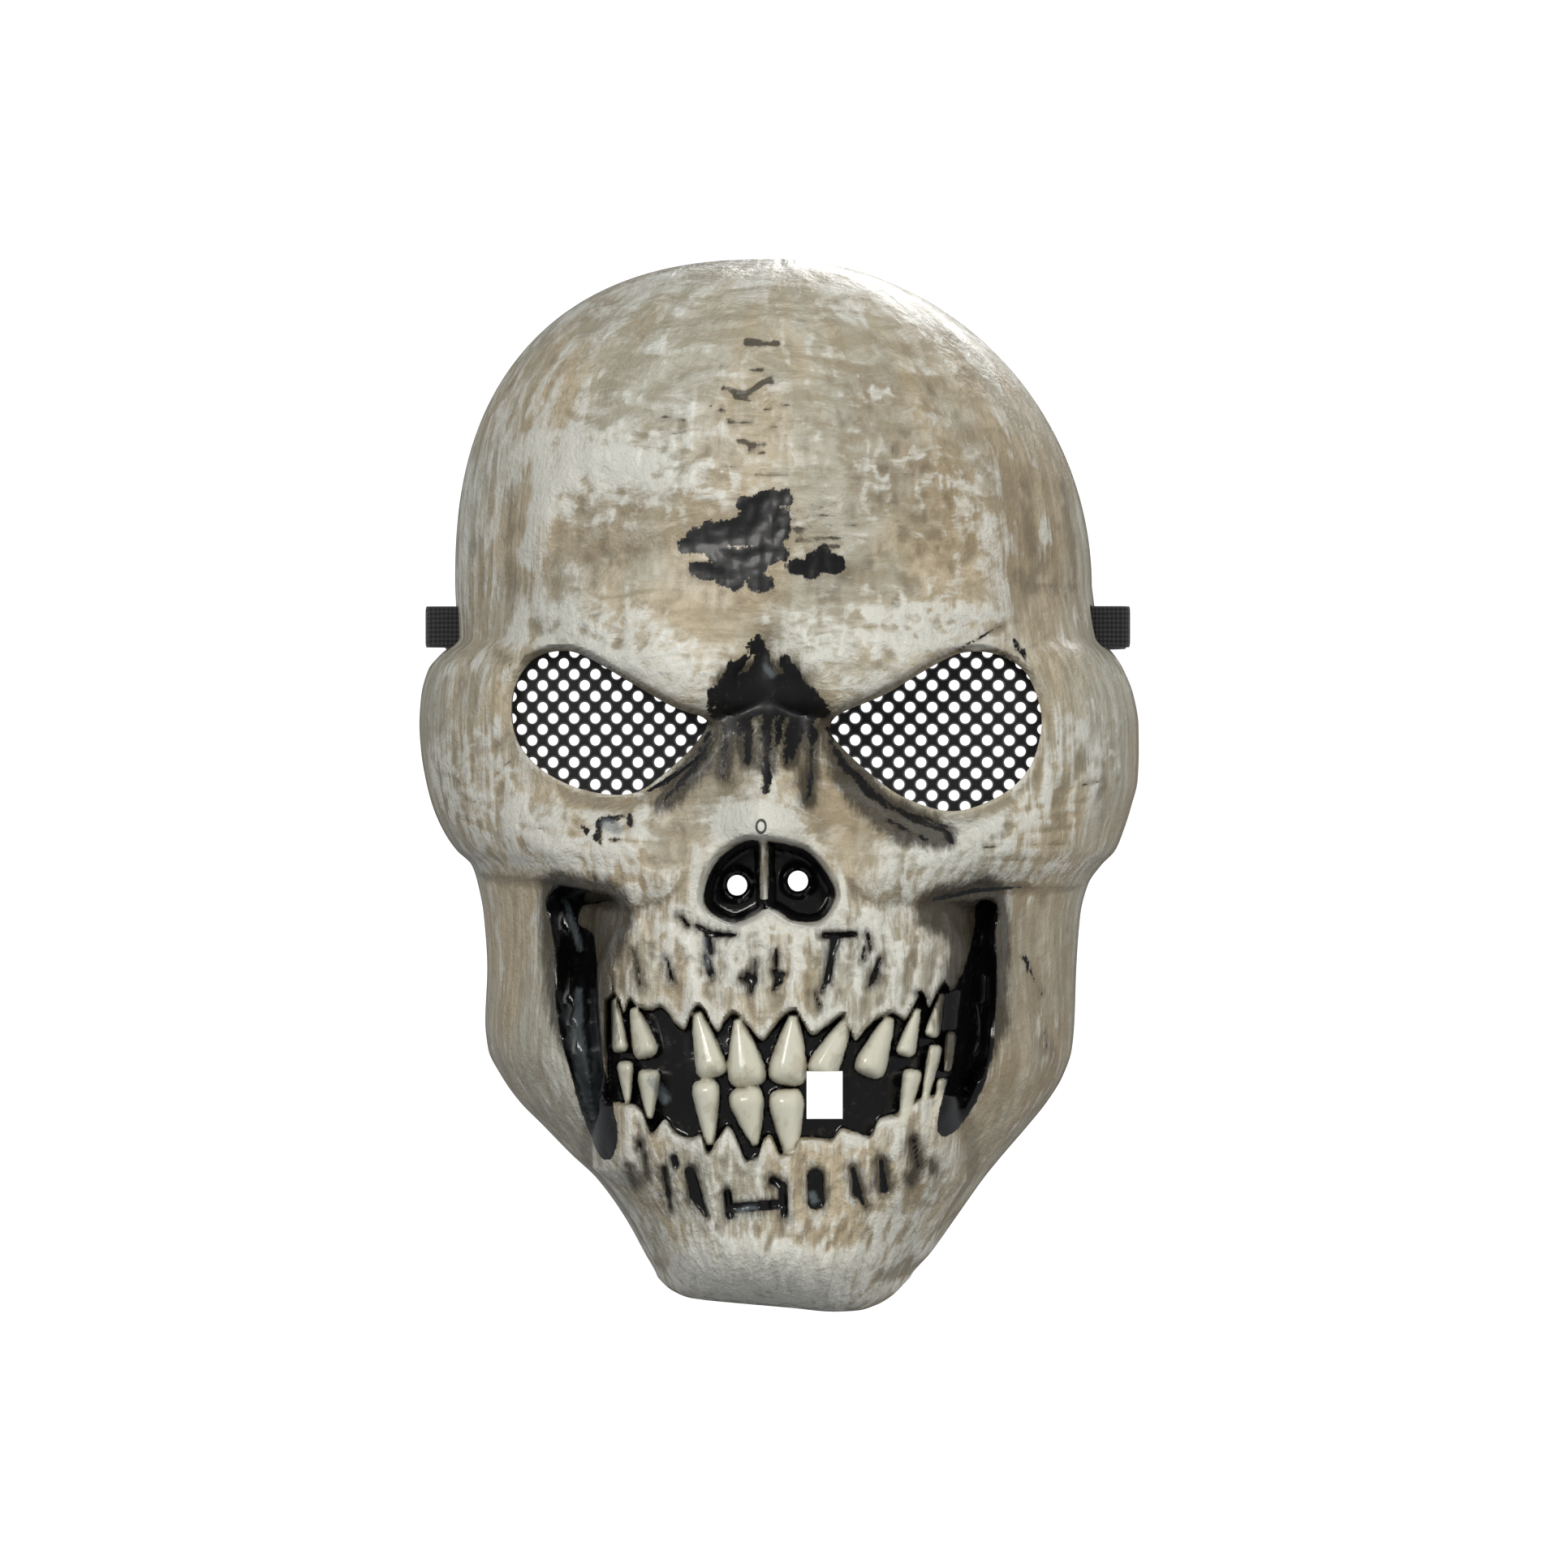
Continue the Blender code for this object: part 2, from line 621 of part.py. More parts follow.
def shell_cutters(collection):
    """Everything that is cut through the shell."""
    front, back = -mask_depth, rim_back * 0.4
    cuts = [
        prism("cut_eye_left", closed_curve(EYE_LEFT, 2), front, back, collection),
        prism("cut_eye_right", closed_curve(EYE_RIGHT, 2), front, back, collection),
    ]
    for k, (across, up) in enumerate(VENTS):
        middle = (across * mask_width / 2, up * mask_height)
        cuts.append(prism(f"cut_vent_{k}", circle(middle, vent_radius, 10), front, back, collection))
    (left, top), (right, bottom) = WINDOW
    cuts.append(block(
        "cut_window",
        (left * mask_width / 2, front, bottom * mask_height),
        (right * mask_width / 2, back, top * mask_height),
        collection,
    ))
    for name, side in (("left", -1.0), ("right", 1.0)):
        near, far = sorted((side * mask_width * 0.36, side * mask_width * 0.60))
        middle = rim_back - slot_from_rim
        cuts.append(block(
            f"cut_slot_{name}",
            (near, middle - slot_width / 2, slot_low),
            (far, middle + slot_width / 2, slot_low + slot_height),
            collection,
        ))
    return cuts


def outline_object(name, loops, thickness):
    """A flat outline with holes, filled and given a thickness, made into a mesh and welded."""
    data = bpy.data.curves.new(name, "CURVE")
    data.dimensions = "2D"
    data.fill_mode = "BOTH"
    data.extrude = thickness / 2
    for loop in loops:
        spline = data.splines.new("POLY")
        spline.points.add(len(loop) - 1)
        for point, (px, py) in zip(spline.points, loop):
            point.co = (px, py, 0.0, 1.0)
        spline.use_cyclic_u = True
    holder = bpy.data.objects.new(name + "_outline", data)
    bpy.context.scene.collection.objects.link(holder)
    shaped = holder.evaluated_get(bpy.context.evaluated_depsgraph_get())
    mesh = bpy.data.meshes.new_from_object(shaped)
    bpy.data.objects.remove(holder)
    mesh.name = name
    bm = bmesh.new()
    bm.from_mesh(mesh)
    bmesh.ops.remove_doubles(bm, verts=bm.verts, dist=1e-6)
    bmesh.ops.triangulate(bm, faces=bm.faces)
    bmesh.ops.recalc_face_normals(bm, faces=bm.faces)
    bm.to_mesh(mesh)
    bm.free()
    return mesh


def net_front(x, z):
    """How far forward the middle of the net lies: behind the wall at the edge of the eye opening."""
    steep = -1.0 / outward(x, z)[..., 1]
    behind = (wall + net_gap + net_thickness / 2) * steep
    return bare_front(x, z) - socket_recess(x) - behind


def net_mesh(name, eye):
    """A piece of net that laps behind one eye opening and follows the face's curve."""
    curve = closed_curve(eye, 2)
    along = np.roll(curve, -1, 0) - np.roll(curve, 1, 0)
    out = np.stack([along[:, 1], -along[:, 0]], axis=-1)
    out /= np.linalg.norm(out, axis=1, keepdims=True)
    turn = np.sum(curve[:, 0] * np.roll(curve[:, 1], -1) - curve[:, 1] * np.roll(curve[:, 0], -1))
    edge = curve + out * net_lap * (1.0 if turn > 0 else -1.0)
    loops = [edge]
    left, low = curve.min(axis=0)
    right, high = curve.max(axis=0)
    count_x = int((right - left) / net_pitch) + 2
    count_z = int((high - low) / (net_pitch / 2)) + 2
    for row in range(count_z):
        for k in range(count_x):
            px = left + (k + 0.5 * (row % 2)) * net_pitch
            pz = low + row * net_pitch / 2
            room = distance_outside(np.array([px]), np.array([pz]), curve)[0]
            if room < -net_hole_radius - net_margin:
                loops.append(circle((px, pz), net_hole_radius, 6))
    mesh = outline_object(name, loops, net_thickness)
    flat = np.array([v.co[:] for v in mesh.vertices])
    middle = -net_front(flat[:, 0], flat[:, 1])
    for vertex, y in zip(mesh.vertices, middle):
        px, pz, depth = vertex.co
        vertex.co = (px, y - depth, pz)
    return mesh


def strap_path():
    """Middle line of the band seen from above: looped round the rim at each side, round the head behind."""
    heights = np.array([strap_up - strap_width / 2, strap_up, strap_up + strap_width / 2])
    half = strap_thickness / 2
    slot = rim_back - slot_from_rim
    ends = []
    for side, sign in ((LEFT, -1.0), (RIGHT, 1.0)):
        widths = half_width(heights, side)
        outside = widths.max() + clearance + half
        inside = widths.min() - 1.6 * wall - clearance - half
        main = inside + strap_thickness + clearance
        ends.append([
            (sign * inside, rim_back + strap_tail),
            (sign * inside, rim_back + 0.4 * strap_tail),
            (sign * inside, slot + 2.6 * half),
            (sign * (inside + 0.6 * half), slot + 0.7 * half),
            (sign * (inside + 2.0 * half), slot),
            (sign * (outside + 0.3 * half), slot),
            (sign * (outside + 0.75 * strap_bulge), slot + 1.2 * half),
            (sign * (outside + strap_bulge), slot + 0.5 * slot_from_rim),
            (sign * (outside + 0.75 * strap_bulge), rim_back),
            (sign * (main + 0.6 * (outside - main)), rim_back + 0.35 * strap_tail),
            (sign * main, rim_back + 0.75 * strap_tail),
            (sign * main, rim_back + 1.1 * strap_tail),
        ])
    lead = math.radians(16)
    steps = 28
    middle = rim_back + head_behind_rim
    back = []
    for k in range(steps + 1):
        a = -lead + (math.pi + 2.0 * lead) * k / steps
        back.append((-head_half_width * math.cos(a), middle + (head_back - head_behind_rim) * math.sin(a)))
    return ends[0] + back + ends[1][::-1]


def strap_mesh():
    """The band: its path given a thickness and a width."""
    path = np.array(strap_path())
    along = np.gradient(path, axis=0)
    along /= np.linalg.norm(along, axis=1, keepdims=True)
    aside = np.stack([-along[:, 1], along[:, 0]], axis=-1) * strap_thickness / 2
    loop = np.concatenate([path + aside, (path - aside)[::-1]])
    mesh = outline_object("head_strap", [loop], strap_width)
    for vertex in mesh.vertices:
        vertex.co.z += strap_up
    mesh.shade_smooth()
    mesh.set_sharp_from_angle(angle=math.radians(50))
    return mesh


def build_mask():
    """Clear the scene and make every piece of the mask."""
    for obj in list(bpy.data.objects):
        bpy.data.objects.remove(obj)
    pieces = bpy.data.collections.new("skull_mask")
    cutters = bpy.data.collections.new("cutters")
    for collection in (pieces, cutters):
        bpy.context.scene.collection.children.link(collection)

    bone = new_material("bone_plastic", (0.62, 0.58, 0.47), 0.35)
    net = new_material("black_net", (0.02, 0.02, 0.022), 0.8)
    elastic = new_material("strap_elastic", (0.015, 0.015, 0.015), 0.75)

    shell = new_object("mask_shell", shell_mesh(), bone, pieces)
    for cut in shell_cutters(cutters):
        boolean = shell.modifiers.new(cut.name, "BOOLEAN")
        boolean.operation = "DIFFERENCE"
        boolean.solver = "EXACT"
        boolean.object = cut
    new_object("eye_net_left", net_mesh("eye_net_left", EYE_LEFT), net, pieces)
    new_object("eye_net_right", net_mesh("eye_net_right", EYE_RIGHT), net, pieces)
    new_object("head_strap", strap_mesh(), elastic, pieces)


build_mask()
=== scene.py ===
"""Skull mask: a painted plastic face, net behind its eye openings and an elastic band round the head.

The mask faces -Y and stands upright. Positions across are shares of half the mask's width, positions up
are shares of its height from the eye line, and radii in the paint tables are in millimetres.
"""
import math

import bmesh
import bpy
import numpy as np
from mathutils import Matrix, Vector
from mathutils.kdtree import KDTree


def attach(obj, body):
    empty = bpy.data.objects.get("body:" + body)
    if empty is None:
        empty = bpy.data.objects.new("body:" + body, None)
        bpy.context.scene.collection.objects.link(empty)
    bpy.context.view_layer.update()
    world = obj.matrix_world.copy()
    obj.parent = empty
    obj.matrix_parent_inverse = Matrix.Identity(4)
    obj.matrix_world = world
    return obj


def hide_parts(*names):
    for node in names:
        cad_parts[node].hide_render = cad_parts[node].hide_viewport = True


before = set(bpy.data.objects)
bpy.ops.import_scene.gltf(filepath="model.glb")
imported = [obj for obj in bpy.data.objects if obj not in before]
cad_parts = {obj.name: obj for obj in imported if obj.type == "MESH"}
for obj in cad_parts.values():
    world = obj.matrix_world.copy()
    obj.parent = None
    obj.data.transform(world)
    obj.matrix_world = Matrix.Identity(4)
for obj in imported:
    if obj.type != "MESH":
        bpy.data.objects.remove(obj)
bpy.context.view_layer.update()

# The mask as a whole
mask_width = 0.158
mask_height = 0.228
mask_depth = 0.083
wall = 0.0020
clearance = 0.0003
rim_back = 0.046

# The edge at the forehead and at the chin
crown_up = 0.4385
shoulder_up = 0.127
corner_up = 0.35
lift_up = 0.100
sink_up = -0.470
left_crown_power = 2.45
right_crown_power = 2.0
chin_corner_up = -0.531
chin_round = 0.014
chin_tuck = 0.62
side_turn = math.radians(84)

# Heights and depths of the relief
socket_depth = 0.0060
socket_rim = 0.0050
brow_rim = 0.0016
low_recess = 0.32
eye_lip_height = 0.0008
eye_lip_width = 0.0012
hollow_depth = 0.0110
hollow_edge = 0.0035
nose_depth = 0.0130
nose_edge = 0.0022
septum_drop = 0.0030
notch_depth = 0.0026
notch_edge = 0.0085
mouth_recess = 0.0045
mouth_left = 0.440
mouth_right = 0.535
tooth_rise = 0.0055
gum_edge = 0.0007
root_swell = 0.0021
root_length = 0.0175
temple_dip = 0.0030
jaw_left = 0.0385
jaw_right = 0.0425
jaw_drop = 0.0300
jaw_power = 2.6
jaw_share = 0.93
jaw_fade = 0.034
crease_depth = 0.00045
mark_depth = 0.0011
wound_depth = 0.0003

# Openings
vent_radius = 0.0022
vent_sides = 24
slot_width = 0.0019
slot_height = 0.0152
slot_low = 0.0098
slot_from_rim = 0.0062

# Net behind the eyes
net_thickness = 0.0004
net_lap = 0.0032
net_gap = 0.0009
net_hole_radius = 0.00114
net_pitch = 0.00470
net_row = 0.00238
hole_sides = 16
weld_distance = 1e-6
flat_step = 0.00025

# Elastic band
strap_width = 0.0090
strap_thickness = 0.0012
strap_up = 0.0202
strap_bulge = 0.0036
strap_tail = 0.0150
strap_step = 0.0010
head_half_width = 0.0750
head_behind_rim = 0.0450
head_back = 0.1210

# Fineness of the painted face: columns and rows, and how many of them one cell of the back spans
columns = 270
middle_columns = 180
middle_share = 0.60
back_step = 5

# How many cells away the paint looks for a hollow
settle_reach = 4
# Points between two given points of an outline, where it is crisp and where it is soft
crisp_steps = 6
soft_steps = 4
# Millimetres in a metre, and the least and greatest distance that a paint keeps, in millimetres
in_millimetres = 1000.0
paint_reach = (-4.0, 20.0)

# The edge seen from the front: height, half width on the left, half width on the right
EDGE = [
    (-0.600, 0.262, 0.330),
    (-0.531, 0.311, 0.382),
    (-0.508, 0.349, 0.437),
    (-0.473, 0.411, 0.508),
    (-0.438, 0.491, 0.579),
    (-0.417, 0.559, 0.628),
    (-0.389, 0.642, 0.697),
    (-0.366, 0.710, 0.750),
    (-0.342, 0.761, 0.792),
    (-0.316, 0.799, 0.817),
    (-0.288, 0.808, 0.824),
    (-0.242, 0.804, 0.828),
    (-0.188, 0.815, 0.839),
    (-0.158, 0.832, 0.861),
    (-0.140, 0.850, 0.897),
    (-0.126, 0.892, 0.935),
    (-0.108, 0.928, 0.957),
    (-0.084, 0.959, 0.979),
    (-0.058, 0.979, 0.997),
    (-0.031, 0.992, 1.000),
    (-0.005, 0.997, 0.999),
    (0.022, 0.992, 0.986),
    (0.048, 0.972, 0.957),
    (0.062, 0.939, 0.932),
    (0.078, 0.892, 0.892),
    (0.127, 0.897, 0.870),
]

# The face from the side: height, how far forward its middle is, how far forward its rim is
PROFILE = [
    (-0.570, 0.960, 0.602),
    (-0.531, 0.976, 0.554),
    (-0.473, 0.982, 0.410),
    (-0.412, 0.988, 0.265),
    (-0.345, 0.994, 0.157),
    (-0.242, 0.964, 0.084),
    (-0.165, 0.940, 0.048),
    (-0.088, 0.916, 0.012),
    (0.000, 0.904, 0.000),
    (0.078, 0.904, 0.000),
    (0.142, 0.892, 0.012),
    (0.219, 0.867, 0.036),
    (0.296, 0.813, 0.084),
    (0.335, 0.765, 0.120),
    (0.373, 0.700, 0.180),
    (0.405, 0.610, 0.250),
    (0.425, 0.510, 0.310),
    (0.4385, 0.370, 0.370),
]

# The chin's lower edge: across, how far it hangs below the corners of the jaw
CHIN_EDGE = [
    (-0.311, 0.0000),
    (-0.269, 0.0115),
    (-0.215, 0.0185),
    (-0.084, 0.0230),
    (0.053, 0.0270),
    (0.186, 0.0310),
    (0.244, 0.0300),
    (0.293, 0.0250),
    (0.333, 0.0170),
    (0.382, 0.0000),
]

# Rows of the painted face: height at the band's upper end, number of rows in the band
ROW_BANDS = [
    (-0.470, 15),
    (-0.200, 120),
    (-0.090, 45),
    (0.100, 70),
    (0.300, 65),
    (0.350, 20),
]

# Outlines, as points across and up
EYE_LEFT = [
    (-0.710, 0.004), (-0.699, 0.033), (-0.648, 0.057), (-0.570, 0.064), (-0.499, 0.058),
    (-0.382, 0.035), (-0.260, 0.011), (-0.166, -0.002), (-0.189, -0.022), (-0.271, -0.050),
    (-0.366, -0.071), (-0.493, -0.069), (-0.615, -0.051), (-0.688, -0.025),
]
EYE_RIGHT = [
    (0.171, -0.008), (0.202, 0.005), (0.317, 0.022), (0.451, 0.050), (0.528, 0.062),
    (0.617, 0.061), (0.695, 0.045), (0.735, 0.015), (0.741, -0.013), (0.708, -0.048),
    (0.633, -0.073), (0.506, -0.088), (0.373, -0.075), (0.273, -0.050), (0.189, -0.022),
]
NOSE = [
    (-0.047, -0.114), (0.033, -0.116), (0.115, -0.125), (0.175, -0.150), (0.191, -0.170),
    (0.149, -0.192), (0.071, -0.193), (0.007, -0.182), (-0.084, -0.195), (-0.158, -0.184),
    (-0.175, -0.165), (-0.149, -0.139), (-0.100, -0.122),
]
HOLLOW_LEFT = [
    (-0.400, -0.172), (-0.442, -0.164), (-0.515, -0.161), (-0.579, -0.158), (-0.615, -0.172),
    (-0.606, -0.192), (-0.593, -0.219), (-0.590, -0.258), (-0.579, -0.288), (-0.553, -0.327),
    (-0.519, -0.358), (-0.477, -0.394), (-0.442, -0.415), (-0.415, -0.405), (-0.420, -0.377),
    (-0.435, -0.342), (-0.446, -0.312), (-0.457, -0.277), (-0.455, -0.246), (-0.426, -0.215),
    (-0.402, -0.192),
]
HOLLOW_RIGHT = [
    (0.473, -0.175), (0.550, -0.170), (0.610, -0.168), (0.630, -0.181), (0.622, -0.208),
    (0.624, -0.235), (0.624, -0.263), (0.617, -0.290), (0.608, -0.319), (0.579, -0.346),
    (0.539, -0.372), (0.495, -0.392), (0.473, -0.381), (0.482, -0.350), (0.504, -0.315),
    (0.513, -0.281), (0.522, -0.246), (0.526, -0.219), (0.499, -0.196),
]
NOTCH = [
    (-0.018, 0.075), (-0.149, 0.015), (-0.118, -0.002), (0.149, -0.004), (0.164, 0.010),
    (0.038, 0.065),
]

# Ridges, one row a point: across, up, reach above, reach below, height (the last three in metres)
BROW_LEFT = [
    (-0.659, 0.083, 0.012, 0.007, 0.0025),
    (-0.526, 0.090, 0.018, 0.008, 0.0045),
    (-0.371, 0.070, 0.022, 0.008, 0.0060),
    (-0.175, 0.035, 0.022, 0.008, 0.0055),
]
BROW_RIGHT = [
    (0.175, 0.035, 0.022, 0.008, 0.0055),
    (0.317, 0.060, 0.022, 0.008, 0.0060),
    (0.473, 0.088, 0.018, 0.008, 0.0045),
    (0.640, 0.092, 0.012, 0.007, 0.0025),
]
CHEEK_LEFT = [
    (-0.900, -0.070, 0.014, 0.012, 0.0010),
    (-0.770, -0.112, 0.014, 0.009, 0.0040),
    (-0.570, -0.123, 0.014, 0.008, 0.0070),
    (-0.371, -0.130, 0.014, 0.012, 0.0060),
]
CHEEK_RIGHT = [
    (0.371, -0.130, 0.014, 0.012, 0.0060),
    (0.562, -0.123, 0.014, 0.008, 0.0070),
    (0.784, -0.123, 0.014, 0.009, 0.0040),
    (0.930, -0.080, 0.014, 0.012, 0.0010),
]
NASAL = [
    (-0.004, -0.020, 0.008, 0.008, 0.0030),
    (-0.003, -0.060, 0.010, 0.010, 0.0060),
    (-0.002, -0.102, 0.014, 0.014, 0.0090),
]
NOSE_SIDES = [
    (-0.180, -0.140, 0.010, 0.010, 0.0030),
    (-0.210, -0.175, 0.010, 0.010, 0.0025),
]
TEMPLE_LEFT = [
    (-0.63, 0.110, 0.007, 0.007, 0.0010),
    (-0.66, 0.160, 0.008, 0.008, 0.0016),
    (-0.60, 0.215, 0.009, 0.009, 0.0014),
    (-0.46, 0.260, 0.010, 0.010, 0.0008),
]
TEMPLE_RIGHT = [
    (0.61, 0.110, 0.007, 0.007, 0.0010),
    (0.63, 0.160, 0.008, 0.008, 0.0018),
    (0.56, 0.225, 0.009, 0.009, 0.0016),
    (0.44, 0.270, 0.010, 0.010, 0.0010),
]
# Upright swells of the jaw between the cheekbones and the outer teeth, and over the middle teeth
PILLARS = [
    [(-0.37, -0.165, 0.004, 0.004, 0.0010), (-0.36, -0.205, 0.005, 0.005, 0.0022),
     (-0.38, -0.255, 0.004, 0.004, 0.0008)],
    [(0.42, -0.165, 0.005, 0.005, 0.0010), (0.44, -0.205, 0.006, 0.006, 0.0024),
     (0.42, -0.250, 0.004, 0.004, 0.0008)],
    [(0.30, -0.135, 0.006, 0.006, 0.0012), (0.29, -0.180, 0.005, 0.005, 0.0020),
     (0.31, -0.235, 0.004, 0.004, 0.0010)],
    [(-0.26, -0.150, 0.006, 0.006, 0.0008), (-0.27, -0.195, 0.005, 0.005, 0.0016),
     (-0.26, -0.240, 0.004, 0.004, 0.0008)],
    [(-0.01, -0.195, 0.003, 0.003, 0.0008), (-0.01, -0.235, 0.003, 0.003, 0.0013),
     (-0.01, -0.275, 0.003, 0.003, 0.0010)],
]
CHIN = [
    (-0.160, -0.515, 0.012, 0.014, 0.0020),
    (0.180, -0.518, 0.012, 0.014, 0.0020),
]
SEPTUM = [
    (-0.013, -0.108, 0.0022, 0.0022, 1.0),
    (-0.002, -0.180, 0.0022, 0.0022, 1.0),
]

# Where the surface is knobby: across, up, reach above, reach below, how much
KNOBBY = [
    [(-0.66, 0.085, 0.010, 0.007, 0.8), (-0.50, 0.083, 0.014, 0.010, 1.0),
     (-0.16, 0.035, 0.012, 0.010, 0.7)],
    [(0.12, 0.045, 0.014, 0.010, 0.8), (0.45, 0.095, 0.016, 0.010, 1.0), (0.68, 0.080, 0.012, 0.008, 0.8)],
    [(0.10, 0.270, 0.030, 0.020, 0.5), (0.36, 0.235, 0.030, 0.024, 0.9), (0.50, 0.150, 0.026, 0.024, 0.6)],
    [(-0.52, 0.225, 0.016, 0.016, 0.5), (-0.15, 0.235, 0.024, 0.020, 0.6)],
    [(-0.84, -0.060, 0.020, 0.016, 0.9), (-0.62, -0.110, 0.014, 0.012, 1.0),
     (-0.42, -0.125, 0.012, 0.010, 0.8)],
    [(0.42, -0.125, 0.012, 0.010, 0.8), (0.62, -0.110, 0.014, 0.012, 0.9),
     (0.88, -0.060, 0.020, 0.016, 0.7)],
    [(-0.12, -0.500, 0.018, 0.022, 0.9), (0.20, -0.505, 0.018, 0.022, 0.9)],
    [(-0.30, -0.235, 0.016, 0.012, 0.8), (0.02, -0.225, 0.018, 0.012, 0.9),
     (0.36, -0.235, 0.018, 0.012, 0.8)],
    [(-0.28, -0.430, 0.010, 0.012, 0.6), (0.02, -0.425, 0.010, 0.012, 0.8),
     (0.34, -0.420, 0.010, 0.012, 0.6)],
]

# Lower edge of the upper gum and upper edge of the lower gum: across, up
GUM_UPPER = [
    (-0.437, -0.267), (-0.417, -0.262), (-0.402, -0.268), (-0.391, -0.278), (-0.373, -0.266),
    (-0.349, -0.273), (-0.313, -0.275), (-0.289, -0.272), (-0.266, -0.278), (-0.242, -0.289),
    (-0.222, -0.293), (-0.202, -0.278), (-0.184, -0.271), (-0.166, -0.275), (-0.147, -0.288),
    (-0.129, -0.295), (-0.109, -0.284), (-0.087, -0.278), (-0.044, -0.291), (-0.009, -0.303),
    (0.018, -0.293), (0.053, -0.279), (0.080, -0.275), (0.102, -0.286), (0.127, -0.298),
    (0.164, -0.290), (0.215, -0.280), (0.231, -0.294), (0.242, -0.303), (0.275, -0.291),
    (0.309, -0.282), (0.342, -0.278), (0.377, -0.284), (0.400, -0.271), (0.422, -0.260),
    (0.440, -0.272), (0.462, -0.259), (0.482, -0.251), (0.499, -0.258), (0.531, -0.236),
]
GUM_LOWER = [
    (-0.437, -0.364), (-0.368, -0.365), (-0.340, -0.371), (-0.311, -0.392), (-0.275, -0.380),
    (-0.244, -0.392), (-0.206, -0.397), (-0.178, -0.394), (-0.155, -0.410), (-0.131, -0.398),
    (-0.100, -0.386), (-0.073, -0.402), (-0.051, -0.418), (-0.022, -0.415), (-0.004, -0.398),
    (0.011, -0.394), (0.044, -0.412), (0.080, -0.410), (0.098, -0.396), (0.178, -0.398),
    (0.209, -0.388), (0.240, -0.391), (0.282, -0.395), (0.311, -0.378), (0.371, -0.373),
    (0.415, -0.360), (0.504, -0.354),
]

# Teeth: root across, root up, tip across, tip up, half width at the root, half width at the tip
TEETH = [
    (-0.417, -0.268, -0.402, -0.308, 0.0111, 0.0244),
    (-0.360, -0.278, -0.333, -0.309, 0.0155, 0.0366),
    (-0.184, -0.282, -0.151, -0.325, 0.0178, 0.0440),
    (-0.073, -0.288, -0.053, -0.330, 0.0155, 0.0537),
    (0.075, -0.285, 0.062, -0.328, 0.0178, 0.0537),
    (0.220, -0.287, 0.162, -0.326, 0.0178, 0.0440),
    (0.331, -0.287, 0.289, -0.324, 0.0178, 0.0440),
    (0.408, -0.278, 0.382, -0.311, 0.0111, 0.0268),
    (0.473, -0.263, 0.451, -0.295, 0.0089, 0.0208),
    (-0.380, -0.359, -0.386, -0.332, 0.0111, 0.0244),
    (-0.317, -0.375, -0.320, -0.342, 0.0111, 0.0318),
    (-0.151, -0.399, -0.162, -0.354, 0.0133, 0.0391),
    (-0.029, -0.399, -0.049, -0.364, 0.0133, 0.0488),
    (0.067, -0.403, 0.058, -0.366, 0.0244, 0.0488),
    (0.373, -0.381, 0.395, -0.340, 0.0133, 0.0268),
    (0.431, -0.358, 0.457, -0.315, 0.0111, 0.0196),
    (0.462, -0.374, 0.477, -0.346, 0.0089, 0.0171),
    (0.491, -0.331, 0.504, -0.304, 0.0111, 0.0220),
]

# Breathing holes in the nose: across, up, and the square hole between the teeth: two corners
VENTS = [(-0.084, -0.158), (0.082, -0.154)]
WINDOW = [(0.111, -0.333), (0.209, -0.378)]

# The cheek hollows' black paint, as points across and up
HOLLOW_INK_LEFT = [
    (-0.426, -0.169), (-0.482, -0.165), (-0.537, -0.162), (-0.579, -0.158), (-0.606, -0.165),
    (-0.615, -0.179), (-0.599, -0.198), (-0.590, -0.219), (-0.588, -0.258), (-0.577, -0.288),
    (-0.564, -0.309), (-0.542, -0.332), (-0.519, -0.352), (-0.497, -0.373), (-0.475, -0.394),
    (-0.448, -0.412), (-0.431, -0.410), (-0.420, -0.392), (-0.435, -0.365), (-0.444, -0.340),
    (-0.453, -0.314), (-0.459, -0.278), (-0.466, -0.248), (-0.473, -0.222), (-0.486, -0.204),
    (-0.526, -0.195), (-0.513, -0.179), (-0.459, -0.175),
]
HOLLOW_INK_RIGHT = [
    (0.584, -0.172), (0.615, -0.175), (0.626, -0.183), (0.617, -0.206), (0.622, -0.232),
    (0.622, -0.263), (0.617, -0.288), (0.613, -0.314), (0.590, -0.340), (0.557, -0.360),
    (0.524, -0.378), (0.495, -0.389), (0.479, -0.387), (0.491, -0.354), (0.506, -0.319),
    (0.513, -0.281), (0.517, -0.262), (0.533, -0.238), (0.548, -0.219), (0.559, -0.196),
    (0.562, -0.179),
]

# The small ring drawn above the nose: middle across and up, half width and half height, in metres
ring_place = (-0.0007, -0.0233)
ring_across = 0.00100
ring_tall = 0.00135

